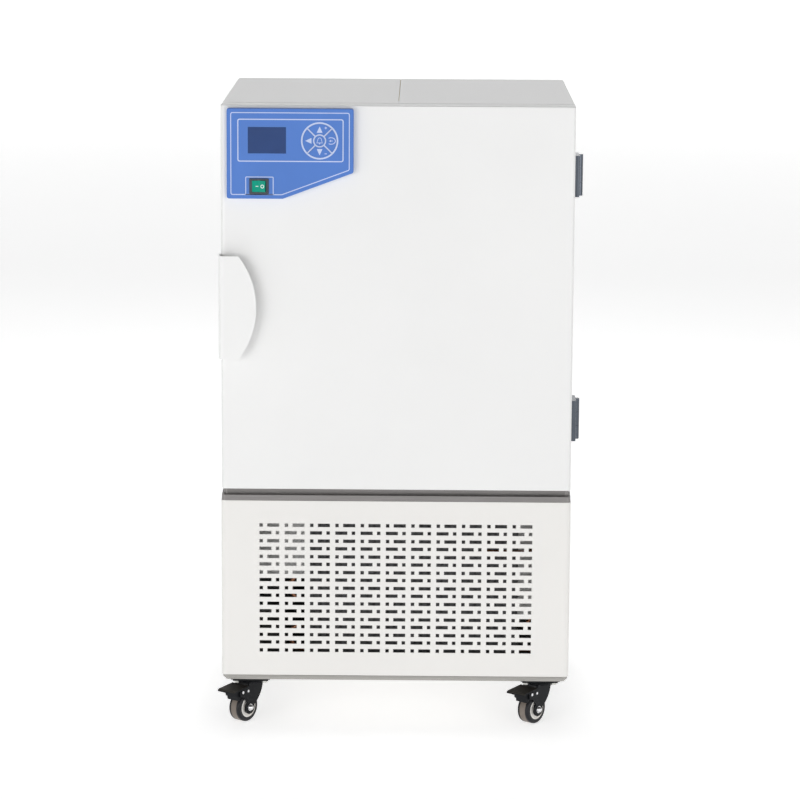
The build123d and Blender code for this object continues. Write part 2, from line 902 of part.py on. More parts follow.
return_bend_trim = 1
return_stub = 4
return_bend = tube_pitch / 2 - return_bend_trim
return_reach = tube_pitch / 2 + return_stub
line_bend = 14
discharge_offset = 26
liquid_offset = 40
discharge_x = condenser_right + discharge_offset
liquid_x = condenser_right + liquid_offset
front_loop = 16
front_loop_inset = 54
front_loop_drop = 94
front_loop_start = condenser_right - front_loop_inset
front_loop_z = trim_z - front_loop_drop
pipe_spread = 30
suction_run = 120
suction_growth = 1
low_tube_share = 0.75
suction_drop = 22
drier_radius = 11
drier_length = 60
drier_cone = 16
drier_rise = 110
with BuildPart() as refrigerant_pipes:
    for row in range(tube_rows - 1):
        low = pan_floor + tube_pitch * (row + low_tube_share)
        high = low + tube_pitch
        x, out = (condenser_left, -1) if row % 2 == 0 else (condenser_right, 1)
        bend_x = x + out * return_reach
        bend_points = [(x, low), (bend_x, low), (bend_x, high), (x, high)]
        pipe([(at_x, tube_y, at_z) for at_x, at_z in bend_points], tube_radius, return_bend)
    discharge_points = [
        (front_loop_start, condenser_y, front_loop_z),
        (front_loop_start, condenser_y - front_loop, front_loop_z),
        (discharge_x, condenser_y - front_loop, front_loop_z),
        (discharge_x, bay_centre_y, front_loop_z),
        (compressor_x + pipe_spread, bay_centre_y, front_loop_z),
        (compressor_x + pipe_spread, bay_centre_y, compressor_top),
    ]
    pipe(discharge_points, pipe_radius, line_bend)
    suction_points = [
        (compressor_x - pipe_spread, bay_centre_y, compressor_top),
        (compressor_x - pipe_spread, bay_centre_y, trim_z - suction_drop),
        (compressor_x - pipe_spread, bay_centre_y + suction_run, trim_z - suction_drop),
        (compressor_x - pipe_spread, bay_centre_y + suction_run, trim_z),
    ]
    pipe(suction_points, pipe_radius + suction_growth, line_bend)
    low_tube = pan_floor + tube_pitch * low_tube_share
    liquid_points = [
        (condenser_right, tube_y, low_tube),
        (liquid_x, tube_y, low_tube),
        (liquid_x, tube_y, trim_z),
    ]
    pipe(liquid_points, pipe_radius, line_bend)
    with Locations((liquid_x, tube_y, low_tube + drier_rise)):
        Cylinder(drier_radius, drier_length)
        with Locations((0, 0, (drier_length + drier_cone) / 2)):
            Cone(drier_radius, pipe_radius, drier_cone)
        with Locations((0, 0, -(drier_length + drier_cone) / 2)):
            Cone(pipe_radius, drier_radius, drier_cone)
save(refrigerant_pipes, "refrigerant_pipes")

# Air baffles: plates hung from the deck that close the bay beside the condenser
baffle_sheet = 1.2
baffle_gap = 1
baffle_setback = 2
baffle_flange = 14
left_baffle_drop = 142
right_baffle_drop = 214
pipe_room = 4
pipe_hole = pipe_radius + pipe_room
baffle_y = condenser_y + baffle_setback
left_baffle = (-side_x + sheet, condenser_left - baffle_gap)
right_baffle = (condenser_right + baffle_gap, side_x - sheet)
with BuildPart() as air_baffles:
    for x_span, drop in ((left_baffle, left_baffle_drop), (right_baffle, right_baffle_drop)):
        block(x_span, (baffle_y, baffle_y + baffle_sheet), (trim_z - drop, trim_z))
        block(x_span, (baffle_y, baffle_y + baffle_flange), (trim_z - baffle_sheet, trim_z))
    with Locations(Plane((discharge_x, baffle_y, front_loop_z), x_dir=(1, 0, 0), z_dir=(0, -1, 0))):
        Cylinder(pipe_hole, 4 * baffle_sheet, mode=Mode.SUBTRACT)
    with Locations((liquid_x, tube_y, trim_z)):
        Cylinder(pipe_hole, 4 * baffle_sheet, mode=Mode.SUBTRACT)
save(air_baffles, "air_baffles")

# Mains: a power box on the rear cover around the inlet, and the inlet itself
box_width = 110
box_depth = 90
box_height = 120
box_wall = 2
box_lift = 12
box_floor = rim_z + box_lift
with BuildPart() as power_box:
    block(
        (inlet_x - box_width / 2, inlet_x + box_width / 2),
        (casing_back_y - box_depth, casing_back_y),
        (box_floor, box_floor + box_height),
    )
    block(
        (inlet_x - box_width / 2 + box_wall, inlet_x + box_width / 2 - box_wall),
        (casing_back_y - box_depth + box_wall, casing_back_y),
        (box_floor + box_wall, box_floor + box_height - box_wall),
        mode=Mode.SUBTRACT,
    )
save(power_box, "power_box")

inlet_flange = 3
inlet_corner = 3
inlet_rim = (4, 3)
inlet_fit = 0.5
socket = (25, 17)
socket_depth = 16
socket_back = 2
pin_size = (2, 4)
pin_end = 4
pin_places = ((-7, -3), (0, 3), (7, -3))
with BuildPart() as power_inlet:
    block(
        (inlet_x - inlet_width / 2 - inlet_rim[0], inlet_x + inlet_width / 2 + inlet_rim[0]),
        (back_y, back_y + inlet_flange),
        (inlet_z - inlet_height / 2 - inlet_rim[1], inlet_z + inlet_height / 2 + inlet_rim[1]),
    )
    fillet(power_inlet.edges().filter_by(Axis.Y), inlet_corner)
    block(
        (inlet_x - inlet_width / 2 + inlet_fit, inlet_x + inlet_width / 2 - inlet_fit),
        (back_y - socket_depth - socket_back, back_y),
        (inlet_z - inlet_height / 2 + inlet_fit, inlet_z + inlet_height / 2 - inlet_fit),
    )
    block(
        (inlet_x - socket[0] / 2, inlet_x + socket[0] / 2),
        (back_y - socket_depth, back_y + inlet_flange),
        (inlet_z - socket[1] / 2, inlet_z + socket[1] / 2),
        mode=Mode.SUBTRACT,
    )
    for x, z in pin_places:
        block(
            (inlet_x + x - pin_size[0] / 2, inlet_x + x + pin_size[0] / 2),
            (back_y - socket_depth, back_y - pin_end),
            (inlet_z + z - pin_size[1] / 2, inlet_z + z + pin_size[1] / 2),
        )
save(power_inlet, "power_inlet")

# Screws of the back, with low round heads
screw_head = 4
screw_head_height = 2
screw_edge = 0.9
with BuildPart() as rear_screws:
    for x, z in cover_screws + panel_screws:
        with Locations(Plane((x, back_y, z), z_dir=(0, 1, 0))):
            Cylinder(screw_head, screw_head_height, align=(Align.CENTER, Align.CENTER, Align.MIN))
            Cylinder(screw_hole, sheet, align=(Align.CENTER, Align.CENTER, Align.MAX))
    chamfer(rear_screws.faces().filter_by(Plane.XZ).group_by(Axis.Y)[-1].edges(), screw_edge)
save(rear_screws, "rear_screws")

# Door: a folded skin, foam, and a moulded liner that carries the gasket
skin_edge = 2
plateau_room = 6
plateau_corner = 12
plateau_edge = 1.5
gasket_edge = 1.8
with BuildPart() as door_skin:
    block((-door_x, door_x), (door_y, door_back_y), (door_z, cabinet_top))
    fillet(near(door_skin, Axis.Z, y=door_y), door_radius)
    fillet(near(door_skin, Axis.X, y=door_y), skin_edge)
    block(
        (-door_x + sheet, door_x - sheet),
        (door_y + door_radius, door_back_y),
        (door_z + sheet, cabinet_top - sheet),
        mode=Mode.SUBTRACT,
    )
    with BuildSketch(Plane.XY.offset(door_z + sheet)):
        with Locations((0, door_y + sheet + door_radius / 2)):
            hollow = Rectangle(2 * (door_x - sheet), door_radius)
        fillet(hollow.vertices().sort_by(Axis.Y)[:2], door_radius - sheet)
    extrude(amount=cabinet_top - door_z - 2 * sheet, mode=Mode.SUBTRACT)
save(door_skin, "door_skin")

with BuildPart() as door_insulation:
    with BuildSketch(Plane.XY.offset(door_z + sheet)):
        foam_depth = door_thickness - sheet - liner_sheet
        with Locations((0, door_y + sheet + foam_depth / 2)):
            foam = Rectangle(2 * (door_x - sheet), foam_depth)
        fillet(foam.vertices().sort_by(Axis.Y)[:2], door_radius - sheet)
    extrude(amount=cabinet_top - door_z - 2 * sheet)
save(door_insulation, "door_insulation")

plateau_inset = door_inset + gasket_width + plateau_room
with BuildPart() as door_liner:
    block(
        (-door_x + sheet, door_x - sheet),
        (door_back_y - liner_sheet, door_back_y),
        (door_z + sheet, cabinet_top - sheet),
    )
    block(
        (-door_x + plateau_inset, door_x - plateau_inset),
        (door_back_y, door_back_y + plateau_height),
        (door_z + plateau_inset, cabinet_top - plateau_inset),
    )
    fillet(near(door_liner, Axis.Y, y=door_back_y + plateau_height / 2), plateau_corner)
    chamfer(door_liner.faces().sort_by(Axis.Y)[-1].edges(), plateau_edge)
save(door_liner, "door_liner")

with BuildPart() as door_gasket:
    block(
        (-door_x + door_inset, door_x - door_inset),
        (door_back_y, frame_y - gasket_clearance),
        (door_z + door_inset, cabinet_top - door_inset),
    )
    gasket_inset = door_inset + gasket_width
    block(
        (-door_x + gasket_inset, door_x - gasket_inset),
        (door_back_y, frame_y),
        (door_z + gasket_inset, cabinet_top - gasket_inset),
        mode=Mode.SUBTRACT,
    )
    chamfer(door_gasket.faces().sort_by(Axis.Y)[-1].edges(), gasket_edge)
save(door_gasket, "door_gasket")

# Handle: a D-shaped plate whose straight edge folds back along the door's left side
handle_plane = Plane(
    (-door_x - handle_sheet, door_y - handle_standoff, handle_centre_z),
    x_dir=(1, 0, 0),
    z_dir=(0, -1, 0),
)
handle_half = handle_height / 2
shoulders = ((handle_shoulder, -handle_half), (handle_shoulder, handle_half))
with BuildPart() as door_handle:
    with BuildSketch(handle_plane):
        with BuildLine():
            Polyline(shoulders[1], (0, handle_half), (0, -handle_half), shoulders[0])
            ThreePointArc(shoulders[0], (handle_reach, 0), shoulders[1])
        make_face()
    extrude(amount=-handle_sheet)
    block(
        (-door_x - handle_sheet, -door_x),
        (door_y - handle_standoff, door_y - handle_standoff + handle_leg),
        (handle_centre_z - handle_half, handle_centre_z + handle_half),
    )
    fillet(near(door_handle, Axis.Z, x=-door_x - handle_sheet, y=door_y - handle_standoff), handle_bend)
    inner_bend = near(door_handle, Axis.Z, x=-door_x, y=door_y - handle_standoff + handle_sheet)
    fillet(inner_bend, handle_bend - handle_sheet)
save(door_handle, "door_handle")

# Control panel: a raised housing with a slanted corner, and the overlay on its face
housing_wall = 2.5
housing_face = 4
housing_edge = 0.5
housing_y = panel_y + overlay_sheet
panel_plane = Plane((panel_x, 0, panel_z), x_dir=(1, 0, 0), z_dir=(0, -1, 0))


def panel_outline(inset):
    """The panel's outline from its top left corner, drawn in by an inset."""
    with BuildSketch(mode=Mode.PRIVATE) as outline:
        with BuildLine():
            Polyline(
                (0, 0),
                (panel_width, 0),
                (panel_width, -panel_side),
                (panel_foot, -panel_height),
                (0, -panel_height),
                close=True,
            )
        make_face()
        fillet(outline.vertices(), panel_radius)
        if inset:
            offset(amount=-inset, mode=Mode.REPLACE)
    return outline.sketch


def key_sector(angle, growth):
    """One of the four ring keys about the key centre, grown on all its sides."""
    apex = (key_gap / 2 - growth) * 2**0.5
    reach = 2 * key_outer
    with BuildSketch(mode=Mode.PRIVATE) as sector:
        Circle(key_outer + growth)
        Circle(key_inner - growth, mode=Mode.SUBTRACT)
        wedge = ((apex, 0), (apex + reach, -reach), (apex + reach, reach))
        Polygon(*wedge, align=None, rotation=angle, mode=Mode.INTERSECT)
    return sector.sketch


key_angles = {"key_right": 0, "key_up": 90, "key_left": 180, "key_down": 270}
key_x = panel_x + key_centre_left
key_z = panel_z - key_centre_drop
key_plane = Plane((key_x, panel_y, key_z), x_dir=(1, 0, 0), z_dir=(0, -1, 0))
lens_x = (panel_x + lens_left, panel_x + lens_left + lens_width)
lens_z = (panel_z - lens_drop, panel_z - lens_drop - lens_height)
switch_x = panel_x + switch_left
switch_z = panel_z - switch_drop
switch_hole = (
    (switch_x - bezel_body_width / 2 - bezel_fit, switch_x + bezel_body_width / 2 + bezel_fit),
    (panel_y, door_y - housing_wall / 2),
    (switch_z - bezel_body_height / 2 - bezel_fit, switch_z + bezel_body_height / 2 + bezel_fit),
)
with BuildPart() as control_housing:
    with BuildSketch(panel_plane.offset(-housing_y)):
        add(panel_outline(0))
    extrude(amount=-(door_y - housing_y))
    chamfer(control_housing.faces().sort_by(Axis.Y)[0].edges(), housing_edge)
    with BuildSketch(panel_plane.offset(-door_y)):
        add(panel_outline(housing_wall))
    extrude(amount=door_y - housing_y - housing_face, mode=Mode.SUBTRACT)
    with Locations(key_plane.offset(-overlay_sheet)):
        Cylinder(
            key_outer + 2 * key_fit,
            key_pocket_depth,
            align=(Align.CENTER, Align.CENTER, Align.MAX),
            mode=Mode.SUBTRACT,
        )
    block(lens_x, (panel_y, panel_y + lens_thickness), lens_z, mode=Mode.SUBTRACT)
    block(*switch_hole, mode=Mode.SUBTRACT)
save(control_housing, "control_housing")

with BuildPart() as control_overlay:
    with BuildSketch(panel_plane.offset(-panel_y)):
        add(panel_outline(overlay_inset))
    extrude(amount=-overlay_sheet)
    with BuildSketch(key_plane):
        for angle in key_angles.values():
            add(key_sector(angle, key_fit))
        Circle(key_middle + key_fit)
    extrude(amount=-2 * overlay_sheet, mode=Mode.SUBTRACT)
    block(lens_x, (panel_y, panel_y + lens_thickness), lens_z, mode=Mode.SUBTRACT)
    block(*switch_hole, mode=Mode.SUBTRACT)
save(control_overlay, "control_overlay")

with BuildPart() as display_lens:
    block(lens_x, (panel_y, panel_y + lens_thickness), lens_z)
save(display_lens, "display_lens")

board_margin = 8
board_sheet = 1.6
board_drop = 4
module_depth = 3.4
board_y = housing_y + housing_face
with BuildPart() as control_board:
    block(
        (lens_x[0] - board_margin, key_x + key_outer),
        (board_y, board_y + board_sheet),
        (key_z - key_outer - board_drop, key_z + key_outer),
    )
    block(lens_x, (board_y + board_sheet, board_y + board_sheet + module_depth), lens_z)
save(control_board, "control_board")

# Keys: four ring sectors and a round middle one, proud of the overlay by a little
key_room = 0.1
key_back = key_proud + overlay_sheet + key_pocket_depth - key_travel - key_room
for key_name, angle in key_angles.items():
    with BuildPart() as ring_key:
        with BuildSketch(key_plane.offset(key_proud)):
            add(key_sector(angle, 0))
        extrude(amount=-key_back)
    save(ring_key, key_name)

with BuildPart() as middle_key:
    with BuildSketch(key_plane.offset(key_proud)):
        Circle(key_middle)
    extrude(amount=-key_back)
save(middle_key, "key_middle")

# Power switch: a bezel with a cup behind it, and a rocker that tips about an upright pin
rocker_pin = 1.5
rocker_pin_fit = 0.05
cup_floor = 1.5
bezel_corner = 1.5
bezel_edge = 0.6
rocker_end_room = 0.5
pin_room = 0.1
rocker_side_depth = 1
rocker_root = (5, 6)
rocker_half = rocker_width / 2
pin_reach = bezel_body_height - 2 * pin_room
with BuildPart() as switch_bezel:
    block(
        (switch_x - bezel_width / 2, switch_x + bezel_width / 2),
        (panel_y - bezel_rim, panel_y),
        (switch_z - bezel_height / 2, switch_z + bezel_height / 2),
    )
    fillet(switch_bezel.edges().filter_by(Axis.Y), bezel_corner)
    chamfer(switch_bezel.faces().sort_by(Axis.Y)[0].edges(), bezel_edge)
    block(
        (switch_x - bezel_body_width / 2, switch_x + bezel_body_width / 2),
        (panel_y, panel_y + bezel_depth),
        (switch_z - bezel_body_height / 2, switch_z + bezel_body_height / 2),
    )
    block(
        (switch_x - rocker_half - rocker_room, switch_x + rocker_half + rocker_room),
        (panel_y - bezel_rim, panel_y + bezel_depth - cup_floor),
        (switch_z - rocker_height / 2 - rocker_end_room, switch_z + rocker_height / 2 + rocker_end_room),
        mode=Mode.SUBTRACT,
    )
    with Locations((switch_x, panel_y, switch_z)):
        Cylinder(rocker_pin + rocker_pin_fit, pin_reach + 2 * pin_room, mode=Mode.SUBTRACT)
save(switch_bezel, "switch_bezel")

end_height = rocker_proud - rocker_half * sin(radians(rocker_tilt))
with BuildPart(Plane((switch_x, panel_y, switch_z), x_dir=(1, 0, 0), z_dir=(0, 0, 1))) as power_rocker:
    rocker_plane = Plane((switch_x, panel_y, switch_z - rocker_height / 2)).rotated((0, 0, -rocker_tilt))
    with BuildSketch(rocker_plane):
        with BuildLine():
            Polyline(
                (-rocker_half, -end_height),
                (0, rocker_dip - end_height),
                (rocker_half, -end_height),
                (rocker_half, rocker_side_depth),
                rocker_root,
                (-rocker_root[0], rocker_root[1]),
                (-rocker_half, rocker_side_depth),
                close=True,
            )
        make_face()
    extrude(amount=rocker_height)
    Cylinder(rocker_pin, pin_reach)
save(power_rocker, "power_rocker")


# Hinges: leaves on the frame's and the door's right sides, three knuckles and a pin
def knuckle_span(centre_z, low_share, high_share, gap):
    """A stretch of the hinge barrel, shortened by a gap at both ends."""
    low = centre_z - hinge_height / 2
    return (low + hinge_height * low_share + gap, low + hinge_height * high_share - gap)


def barrel(z_span, radius, mode=Mode.ADD):
    """A round length on the hinge line."""
    with Locations((hinge_x, hinge_y, (z_span[0] + z_span[1]) / 2)):
        Cylinder(radius, z_span[1] - z_span[0], mode=mode)


leaf_face = side_x + hinge_leaf
leaf_corner = 2.5
with BuildPart() as hinge_frame_leaves:
    for centre_z in hinge_centres:
        whole = knuckle_span(centre_z, 0, 1, 0)
        middle = knuckle_span(centre_z, knuckle_share, 1 - knuckle_share, -knuckle_gap)
        block((side_x, leaf_face), (hinge_y + hinge_leaf_gap / 2, hinge_y + hinge_leaf_width), whole)
        barrel(whole, hinge_barrel / 2)
        fillet(near(hinge_frame_leaves, Axis.Z, x=leaf_face, y=hinge_y + hinge_leaf_width), leaf_corner)
        barrel(middle, hinge_barrel / 2 + knuckle_gap, mode=Mode.SUBTRACT)
        barrel(whole, hinge_pin / 2)
save(hinge_frame_leaves, "hinge_frame_leaves")

with BuildPart() as hinge_door_leaves:
    for centre_z in hinge_centres:
        whole = knuckle_span(centre_z, 0, 1, 0)
        middle = knuckle_span(centre_z, knuckle_share, 1 - knuckle_share, 0)
        block((door_x, leaf_face), (hinge_y - hinge_leaf_width, hinge_y - hinge_leaf_gap / 2), whole)
        fillet(near(hinge_door_leaves, Axis.Z, x=leaf_face, y=hinge_y - hinge_leaf_width), leaf_corner)
        for low_share, high_share in ((0, knuckle_share), (1 - knuckle_share, 1)):
            end_span = knuckle_span(centre_z, low_share, high_share, -knuckle_gap)
            barrel(end_span, hinge_barrel / 2 + knuckle_gap, mode=Mode.SUBTRACT)
        barrel(middle, hinge_barrel / 2)
        barrel(whole, hinge_pin / 2 + hinge_fit, mode=Mode.SUBTRACT)
save(hinge_door_leaves, "hinge_door_leaves")

# Casters: a bolted plate with its race and kingpin, a swivelling fork with its axle, and a wheel
plate_z = caster_height - plate_thickness
race_z = plate_z - race_height
crown_top = race_z - caster_fit
crown_z = crown_top - crown_thickness
kingpin_head = 3
kingpin_head_radius = 8
wheel_radius = wheel_diameter / 2
with BuildPart() as caster_plates:
    for x, y in caster_spots:
        with Locations((x, y, plate_z)):
            Box(plate_size, plate_size, plate_thickness, align=(Align.CENTER, Align.CENTER, Align.MIN))
            Cylinder(race_radius, race_height, align=(Align.CENTER, Align.CENTER, Align.MAX))
            pin_length = race_height + 2 * caster_fit + crown_thickness + kingpin_head
            Cylinder(kingpin_radius, pin_length, align=(Align.CENTER, Align.CENTER, Align.MAX))
        with Locations((x, y, crown_z - caster_fit)):
            Cylinder(kingpin_head_radius, kingpin_head, align=(Align.CENTER, Align.CENTER, Align.MAX))
        with Locations((x, y, plate_z)):
            with GridLocations(bolt_spacing, bolt_spacing, 2, 2):
                Cylinder(bolt_hole_radius, 4 * plate_thickness, mode=Mode.SUBTRACT)
save(caster_plates, "caster_plates")

# Caster bolts: heads on the pan, and nuts under the plates
with BuildPart() as caster_bolts:
    for x, y in caster_spots:
        with Locations((x, y, plate_z - nut_height)):
            with GridLocations(bolt_spacing, bolt_spacing, 2, 2):
                Cylinder(
                    bolt_radius,
                    base_z + pan_sheet - plate_z + 2 * nut_height,
                    align=(Align.CENTER, Align.CENTER, Align.MIN),
                )
        for nut_z in (plate_z - nut_height, base_z + pan_sheet):
            with BuildSketch(Plane((x, y, nut_z))):
                with GridLocations(bolt_spacing, bolt_spacing, 2, 2):
                    RegularPolygon(nut_radius, 6)
            extrude(amount=nut_height)
save(caster_bolts, "caster_bolts")

# Fork cheeks, drawn from the kingpin's line on the floor, with the wheel's side to the right
cheek_out = fork_gap / 2 + fork_sheet
cheek_back = 12
cheek_shoulder_z = 61
cheek_belly = (-3.5, 41)
cheek_heel = (trail - leg_radius + 0.5, wheel_radius + 3)
cheek_waist = (trail + leg_radius - 1.5, wheel_radius + 14)
cheek_front = (crown_radius + 6, 52)
nose_shape = [(27, 60), (46, 56.5), (45, 47), (36, 45)]
axle_washer = 1.2
washer_rim = 1
boss_radius = 7
rivet_radius = 2.4
rivet_head = 1.2


def caster_frame(x, y, heading):
    """The plane on the floor under a kingpin, with X towards the wheel."""
    turn = radians(heading)
    return Plane((x, y, 0), x_dir=(cos(turn), sin(turn), 0), z_dir=(0, 0, 1))


def across(frame, out):
    """The upright plane of a caster's side, at a distance from its middle."""
    return Plane(frame.location * Plane.XZ.offset(-out).location)


def crosswise(x, z):
    """The place of a pin or axle that runs across a caster."""
    return Location((x, 0, z), (90, 0, 0))


def fork(frame, braked):
    """A crown, two cheeks and a domed axle, and a nose with the brake's pin on a braked one."""
    shoulder = (-cheek_back, cheek_shoulder_z)
    front = nose_shape if braked else [cheek_front]
    leg = (cheek_waist, (trail, wheel_radius), cheek_heel)
    with BuildPart(frame) as built:
        with Locations((0, 0, crown_z)):
            Cylinder(crown_radius, crown_thickness, align=(Align.CENTER, Align.CENTER, Align.MIN))
        for side in (-1, 1):
            with BuildSketch(across(frame, side * cheek_out)):
                with BuildLine():
                    Polyline(shoulder, (-cheek_back, crown_top), (crown_radius, crown_top), *front, *leg)
                    ThreePointArc(cheek_heel, cheek_belly, shoulder)
                make_face()
                with Locations((trail, wheel_radius)):
                    Circle(leg_radius)
            extrude(amount=side * fork_sheet)
        with Locations(crosswise(trail, wheel_radius)):
            with Locations((0, 0, cheek_out + axle_washer), (0, 0, -cheek_out - axle_washer)):
                Sphere(axle_dome)
            Cylinder(2 * axle_dome, fork_gap, mode=Mode.SUBTRACT)
            Cylinder(axle_dome + washer_rim, 2 * (cheek_out + axle_washer))
            Cylinder(2 * axle_dome, fork_gap, mode=Mode.SUBTRACT)
            Cylinder(axle_radius, fork_gap + fork_sheet)
        if braked:
            with Locations(crosswise(*brake_pin)):
                Cylinder(brake_pin_radius, 2 * (cheek_out + rivet_head))
            with Locations(crosswise(guide_rivet, brake_pin[1])):
                for side in (-1, 1):
                    with Locations((0, 0, side * (fork_gap / 2 + (fork_sheet + rivet_head) / 2))):
                        Cylinder(rivet_radius, fork_sheet + rivet_head)
        with Locations((0, 0, crown_z)):
            Cylinder(kingpin_radius + caster_fit, 4 * crown_thickness, mode=Mode.SUBTRACT)
    return built


def wheel(frame):
    """A tyre with rounded shoulders on a stepped hub with a boss on its axle."""
    with BuildPart(frame) as built:
        with Locations(crosswise(trail, wheel_radius)):
            Cylinder(wheel_radius, wheel_width)
        fillet(built.edges(), shoulder_radius)
        with Locations(crosswise(trail, wheel_radius)):
            with Locations((0, 0, wheel_width / 2), (0, 0, -wheel_width / 2)):
                Cylinder(hub_radius, hub_depth, mode=Mode.SUBTRACT)
                Cylinder(hub_radius - hub_step, 2.5 * hub_depth, mode=Mode.SUBTRACT)
            Cylinder(boss_radius, wheel_width)
            Cylinder(axle_radius + axle_fit, 2 * wheel_width, mode=Mode.SUBTRACT)
    return built


# Brake pedal, drawn as the fork's cheeks: a plate over a stepped block that swings down on the tyre
plate_shape = [
    (27, 61.8),
    (27, 64),
    (pedal_reach - 2.5, 60.6),
    (pedal_reach, 58.6),
    (pedal_reach, 56.4),
    (pedal_reach - 2.5, 58.2),
]
block_shape = [
    (22.5, 54.5),
    (27, 61.8),
    (60, 58.4),
    (58.5, 54),
    (53, 53.3),
    (52, 47.5),
    (48.5, 46.5),
    (47, 40.5),
    (40, 40),
]
pin_boss = 4
turned = radians(brake_travel)
axle_from_pin = (trail - brake_pin[0], wheel_radius - brake_pin[1])
pressed_axle = (
    brake_pin[0] + axle_from_pin[0] * cos(turned) - axle_from_pin[1] * sin(turned),
    brake_pin[1] + axle_from_pin[0] * sin(turned) + axle_from_pin[1] * cos(turned),
)


def pedal(frame):
    """A wide plate and the block under it, bored for the fork's pin and clear of the tyre."""
    block_half = fork_gap / 2 - block_fit
    with BuildPart(frame) as built:
        with BuildSketch(across(frame, block_half)):
            with BuildLine():
                Polyline(*block_shape, close=True)
            make_face()
            with Locations(brake_pin):
                Circle(pin_boss)
            with Locations(pressed_axle):
                Circle(wheel_radius + brake_gap, mode=Mode.SUBTRACT)
        extrude(amount=2 * block_half)
        with BuildSketch(across(frame, pedal_width / 2)):
            with BuildLine():
                Polyline(*plate_shape, close=True)
            make_face()
        extrude(amount=pedal_width)
        with Locations(crosswise(*brake_pin)):
            Cylinder(brake_pin_radius + axle_fit, 2 * pedal_width, mode=Mode.SUBTRACT)
    return built


for caster_name, (x, y, heading) in casters.items():
    frame = caster_frame(x, y, heading)
    braked = caster_name.startswith("front")
    save(fork(frame, braked), f"{caster_name}_fork")
    save(wheel(frame), f"{caster_name}_wheel")
    if braked:
        save(pedal(frame), f"{caster_name}_pedal")
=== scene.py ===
import json
import math

import bmesh
import bpy
from mathutils import Matrix, Vector


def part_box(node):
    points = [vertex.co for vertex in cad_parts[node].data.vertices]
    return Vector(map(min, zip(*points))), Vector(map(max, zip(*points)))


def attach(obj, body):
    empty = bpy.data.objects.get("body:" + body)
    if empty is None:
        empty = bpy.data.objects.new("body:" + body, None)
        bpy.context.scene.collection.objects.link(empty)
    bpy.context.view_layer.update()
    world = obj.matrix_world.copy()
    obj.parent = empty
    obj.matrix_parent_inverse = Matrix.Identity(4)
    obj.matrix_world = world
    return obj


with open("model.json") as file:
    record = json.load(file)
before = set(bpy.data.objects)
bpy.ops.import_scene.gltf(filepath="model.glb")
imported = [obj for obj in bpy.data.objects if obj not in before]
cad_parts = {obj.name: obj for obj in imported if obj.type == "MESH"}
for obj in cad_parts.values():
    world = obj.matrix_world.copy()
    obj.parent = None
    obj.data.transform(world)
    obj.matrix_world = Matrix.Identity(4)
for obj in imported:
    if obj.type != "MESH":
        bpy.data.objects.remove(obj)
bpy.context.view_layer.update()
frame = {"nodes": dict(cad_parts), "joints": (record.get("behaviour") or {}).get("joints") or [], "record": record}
MM = 0.001

scene = bpy.context.scene
scene.view_settings.view_transform = "Standard"
scene.view_settings.look = "None"
scene.view_settings.exposure = 0.0
scene.view_settings.gamma = 1.0


# Material building blocks
class Finish:
    """One procedural material, with short calls that add and join nodes."""

    def __init__(self, name):
        self.material = bpy.data.materials.new(name)
        self.material.use_nodes = True
        self.tree = self.material.node_tree
        self.shader = self.tree.nodes["Principled BSDF"]
        self.place = self.node("ShaderNodeTexCoord").outputs["Object"]

    def node(self, kind, **settings):
        made = self.tree.nodes.new(kind)
        for key, value in settings.items():
            setattr(made, key, value)
        return made

    def join(self, source, target):
        self.tree.links.new(source, target)

    def set(self, **values):
        for key, value in values.items():
            self.shader.inputs[key.replace("_", " ")].default_value = value

    def scaled(self, scale):
        mapping = self.node("ShaderNodeMapping")
        mapping.inputs["Scale"].default_value = scale
        self.join(self.place, mapping.inputs["Vector"])
        return mapping.outputs["Vector"]

    def noise(self, scale, detail=2.0, stretch=(1, 1, 1), roughness=0.5):
        made = self.node("ShaderNodeTexNoise")
        made.inputs["Scale"].default_value = scale
        made.inputs["Detail"].default_value = detail
        made.inputs["Roughness"].default_value = roughness
        self.join(self.scaled(stretch), made.inputs["Vector"])
        return made.outputs["Fac"]

    def spread(self, value, low, high, start=0.0, end=1.0):
        made = self.node("ShaderNodeMapRange")
        made.inputs["From Min"].default_value = start
        made.inputs["From Max"].default_value = end
        for socket, bound in ((made.inputs["To Min"], low), (made.inputs["To Max"], high)):
            if isinstance(bound, (int, float)):
                socket.default_value = bound
            else:
                self.join(bound, socket)
        self.join(value, made.inputs["Value"])
        return made.outputs["Result"]

    def mix(self, factor, first, second):
        made = self.node("ShaderNodeMix", data_type="RGBA")
        self.join(factor, made.inputs["Factor"])
        for socket, value in ((made.inputs[6], first), (made.inputs[7], second)):
            if isinstance(value, (tuple, list)):
                socket.default_value = (*value[:3], 1.0)
            else:
                self.join(value, socket)
        return made.outputs[2]

    def math(self, operation, first, second=None):
        made = self.node("ShaderNodeMath", operation=operation)
        for socket, value in zip(made.inputs, (first, second)):
            if value is None:
                continue
            if isinstance(value, (int, float)):
                socket.default_value = value
            else:
                self.join(value, socket)
        return made.outputs["Value"]

    def bump(self, height, strength, distance):
        made = self.node("ShaderNodeBump")
        made.inputs["Strength"].default_value = strength
        made.inputs["Distance"].default_value = distance
        self.join(height, made.inputs["Height"])
        self.join(made.outputs["Normal"], self.shader.inputs["Normal"])

    def colour(self, value):
        self.join(value, self.shader.inputs["Base Color"])

    def rough(self, value):
        self.join(value, self.shader.inputs["Roughness"])


